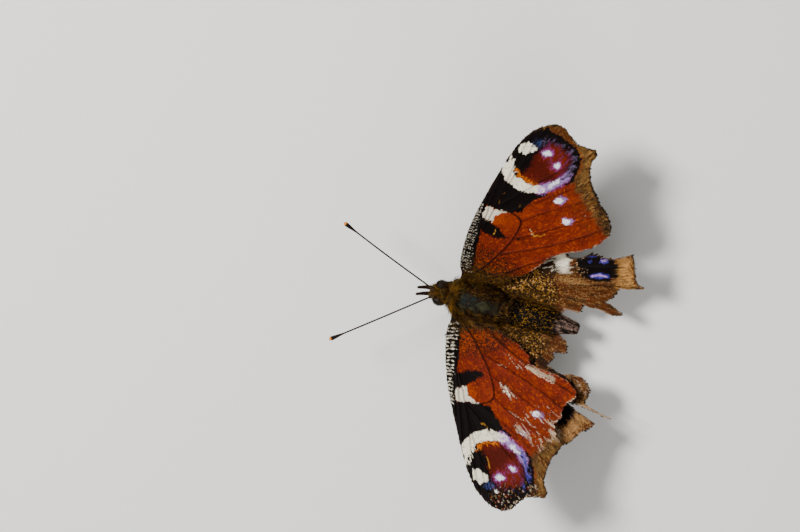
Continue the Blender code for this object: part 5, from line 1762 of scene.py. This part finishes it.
def make_leg(leg, side, tint):
    """A walking leg: hairy femur, spined tibia, five-jointed foot and its claws, in one piece."""
    hip, knee, ankle, heel, toe = (np.array(p) * (SIGN[side], 1, 1) for p in LEG_JOINTS[leg])
    heel, toe = heel + (0, 0, FOOT_RISE), toe + (0, 0, FOOT_RISE)
    path = np.vstack([
        straight_run([hip + unit(hip - knee) * 0.6, hip, knee], 0.12)[:-1],
        straight_run([knee, ankle], 0.12)[:-1],
        smooth_curve([ankle, heel, (heel + toe) / 2, toe], 0.08),
    ])
    travelled = travelled_along(path)
    total = travelled[-1]
    at_knee, at_ankle = (travelled[np.argmin(np.linalg.norm(path - p, axis=1))] for p in (knee, ankle))
    # The half width swells in the thigh and the shin, and thins to the foot.
    stations, widths = zip(
        (0, 0.3), (at_knee * 0.35, 0.36), (at_knee - 0.15, 0.22), (at_knee, 0.15), (at_knee + 0.2, 0.2),
        ((at_knee + at_ankle) / 2, 0.21), (at_ankle - 0.1, 0.19), (at_ankle, 0.13), (total, 0.11),
    )
    radii = np.interp(travelled, stations, widths)
    in_foot = travelled > at_ankle
    joint = ramp((travelled - at_ankle) / (total - at_ankle)) * FOOT_JOINTS % 1
    radii *= 1 + 0.16 * in_foot * np.sin(math.pi * joint)
    path[:, 2] = np.maximum(path[:, 2], FLOOR_Z + radii)
    colours = np.tile(tint.leg, (len(path), 1))
    for share in (np.clip((at_knee - travelled) * 2 + 0.2, 0, 0.7), 0.5 * in_foot * (joint < 0.14)):
        lay_over(colours, share, tint.dark)
    spots = np.arange(at_knee + 0.5, total - 0.2, SPINE_PITCH)
    spines = make_spines(path, radii, spots, travelled)
    points, faces = joined([tube(path, radii, LIMB_SIDES), *make_claws(toe, heel), *spines])
    colours = tube_paint(colours, LIMB_SIDES)
    rest = np.tile(tint.dark, (len(points) - len(colours), 1))
    add_piece(
        f"{leg}_{side}", points, faces, "cuticle", "leg_cuticle", np.vstack([colours, rest]),
        replaces=[f"{leg}_{part}_{side}" for part in ("femur", "tibia", "tarsus")],
    )
    hairy = (travelled > 0.8) & (travelled < at_ankle)
    hairs_on_path(
        f"{leg}_fur_{side}", path[hairy], radii[hairy], LEG_HAIRS, 290, 0.3, 0.04, 0.25,
        [tint.leg * 0.8, tint.brown * 0.8, tint.dark],
    )


def make_foreleg(side, tint):
    """A short brush foot folded against the chest."""
    path = smooth_curve(np.array(FORELEG_PATH) * (SIGN[side], 1, 1), 0.08)
    radii = 0.17 * (1 - 0.5 * np.linspace(0, 1, len(path)) ** 3)
    add_piece(
        f"brush_foot_{side}", *tube(path, radii, 12), "cuticle", "brown_fur", tint.dark,
        replaces=[f"foreleg_{side}"],
    )
    hairs_on_path(
        f"brush_foot_fur_{side}", path, radii, BRUSH_HAIRS, 300, 0.42, 0.045, 0.3,
        [tint.brown * 0.8, tint.dark, tint.leg],
    )


def make_wings(kind, context):
    """Both wings of a kind, with their membrane, scales and hair."""
    settings = settings_of(context.scene.butterfly_wings)
    tint = settings_of(context.scene.butterfly_body)
    for side in SIGN:
        wing = Wing(kind, side, settings.thickness)
        make_membrane(wing, settings)
        make_scales(wing, settings, 1)
        make_scales(wing, settings, -1)
        make_wing_hair(wing, settings, tint)


class BUTTERFLY_OT_body(bpy.types.Operator):
    """Build the body's skin and its coat"""

    bl_idname = "butterfly.body"
    bl_label = "Body"

    def execute(self, context):
        tint = settings_of(context.scene.butterfly_body)
        make_body_skin(tint)
        make_thorax_fur(tint)
        make_head_fur(tint)
        make_abdomen_fur(tint)
        return {"FINISHED"}


class BUTTERFLY_OT_head(bpy.types.Operator):
    """Build the eyes, feelers, palps and tongue"""

    bl_idname = "butterfly.head"
    bl_label = "Eyes, Feelers and Mouth"

    def execute(self, context):
        tint = settings_of(context.scene.butterfly_body)
        for side in SIGN:
            make_eye(side, tint)
            make_antenna(side, tint)
            make_palp(side, tint)
        make_tongue(tint)
        return {"FINISHED"}


class BUTTERFLY_OT_legs(bpy.types.Operator):
    """Build the walking legs and the brush feet"""

    bl_idname = "butterfly.legs"
    bl_label = "Legs"

    def execute(self, context):
        tint = settings_of(context.scene.butterfly_body)
        for side in SIGN:
            for leg in LEG_JOINTS:
                make_leg(leg, side, tint)
            make_foreleg(side, tint)
        return {"FINISHED"}


class BUTTERFLY_OT_forewings(bpy.types.Operator):
    """Build both forewings with their scales and hair"""

    bl_idname = "butterfly.forewings"
    bl_label = "Forewings"

    def execute(self, context):
        make_wings("forewing", context)
        return {"FINISHED"}


class BUTTERFLY_OT_hindwings(bpy.types.Operator):
    """Build both hindwings with their scales and hair"""

    bl_idname = "butterfly.hindwings"
    bl_label = "Hindwings"

    def execute(self, context):
        make_wings("hindwing", context)
        return {"FINISHED"}


def add_light(name, place, size, watts):
    """A square soft light that looks at the origin. Place and size are in millimetres."""
    light = bpy.data.lights.new(name, "AREA")
    light.size = size * MM
    light.energy = watts
    obj = bpy.data.objects.new(name, light)
    place = Vector(place) * MM
    obj.location = place
    obj.rotation_euler = (-place).to_track_quat("-Z", "Y").to_euler()
    bpy.context.scene.collection.objects.link(obj)


def add_camera():
    """The photograph's view: the body's line falls a little from left to right."""
    back = np.array(CAMERA_BACK) / np.linalg.norm(CAMERA_BACK)
    tailward = np.array((0.0, 1.0, 0.0))
    tailward = unit(tailward - back * (tailward @ back))
    upward = np.cross(back, tailward)
    drop = math.radians(CAMERA_TAIL_DROP)
    right = tailward * math.cos(drop) + upward * math.sin(drop)
    up = -tailward * math.sin(drop) + upward * math.cos(drop)
    place = (np.array(CAMERA_AIM) + CENTRE + back * CAMERA_DISTANCE) * MM
    data = bpy.data.cameras.new("camera")
    data.lens = LENS
    data.sensor_width = SENSOR_WIDTH
    data.clip_start = 0.01
    data.clip_end = 20.0
    obj = bpy.data.objects.new("camera", data)
    matrix = Matrix.Identity(4)
    for column, axis in enumerate((right, up, back, place)):
        for row in range(3):
            matrix[row][column] = axis[row]
    obj.matrix_world = matrix
    bpy.context.scene.collection.objects.link(obj)
    bpy.context.scene.camera = obj


def floor_material(tint):
    """Matt painted board: even, with the faintest grain of the roller."""
    material = bpy.data.materials.new("floor, matt painted board")
    material.use_nodes = True
    tree = material.node_tree
    shader = tree.nodes["Principled BSDF"]
    shader.inputs["Base Color"].default_value = (*tint, 1.0)
    shader.inputs["Roughness"].default_value = 0.9
    place = add_node(tree, "ShaderNodeTexCoord").outputs["Object"]
    noise = add_node(
        tree, "ShaderNodeTexNoise", {"Scale": 1 / (1.5 * MM), "Detail": 2.0}, {"Vector": place},
    )
    raised = add_node(
        tree, "ShaderNodeBump", {"Strength": 0.05, "Distance": 0.1 * MM},
        {"Height": noise.outputs["Fac"]},
    )
    tree.links.new(raised.outputs["Normal"], shader.inputs["Normal"])
    return material


class BUTTERFLY_OT_stage(bpy.types.Operator):
    """Set up the floor, the lights and the camera"""

    bl_idname = "butterfly.stage"
    bl_label = "Stage"

    def execute(self, context):
        studio = context.scene.butterfly_studio
        half = FLOOR_SIZE * MM / 2
        corners = [(-half, -half, 0), (half, -half, 0), (half, half, 0), (-half, half, 0)]
        mesh = bpy.data.meshes.new("floor")
        mesh.from_pydata(corners, [], [(0, 1, 2, 3)])
        mesh.materials.append(floor_material(studio.floor))
        floor = bpy.data.objects.new("floor", mesh)
        context.scene.collection.objects.link(floor)
        add_light("key_light", KEY_PLACE, KEY_SIZE, studio.key)
        add_light("fill_light", FILL_PLACE, FILL_SIZE, studio.fill)
        world = bpy.data.worlds.new("studio sky")
        world.use_nodes = True
        world.node_tree.nodes["Background"].inputs["Color"].default_value = (1.0, 1.0, 1.0, 1.0)
        world.node_tree.nodes["Background"].inputs["Strength"].default_value = studio.sky
        context.scene.world = world
        add_camera()
        return {"FINISHED"}


class BUTTERFLY_PT_panel(bpy.types.Panel):
    """Lists the operators that build the butterfly"""

    bl_label = "Peacock Butterfly"
    bl_idname = "BUTTERFLY_PT_panel"
    bl_space_type = "VIEW_3D"
    bl_region_type = "UI"
    bl_category = "Butterfly"

    def draw(self, context):
        for operator in OPERATORS:
            self.layout.operator(operator.bl_idname)


OPERATORS = (
    BUTTERFLY_OT_stage,
    BUTTERFLY_OT_body,
    BUTTERFLY_OT_head,
    BUTTERFLY_OT_legs,
    BUTTERFLY_OT_forewings,
    BUTTERFLY_OT_hindwings,
)
CLASSES = (WingSettings, BodySettings, StudioSettings, *OPERATORS, BUTTERFLY_PT_panel)


def register():
    for cls in CLASSES:
        bpy.utils.register_class(cls)
    bpy.types.Scene.butterfly_wings = PointerProperty(type=WingSettings)
    bpy.types.Scene.butterfly_body = PointerProperty(type=BodySettings)
    bpy.types.Scene.butterfly_studio = PointerProperty(type=StudioSettings)


def unregister():
    del bpy.types.Scene.butterfly_studio
    del bpy.types.Scene.butterfly_body
    del bpy.types.Scene.butterfly_wings
    for cls in reversed(CLASSES):
        bpy.utils.unregister_class(cls)


def main():
    register()
    bpy.ops.butterfly.stage()
    bpy.ops.butterfly.body()
    bpy.ops.butterfly.head()
    bpy.ops.butterfly.legs()
    bpy.ops.butterfly.forewings()
    bpy.ops.butterfly.hindwings()


if __name__ == "__main__":
    main()
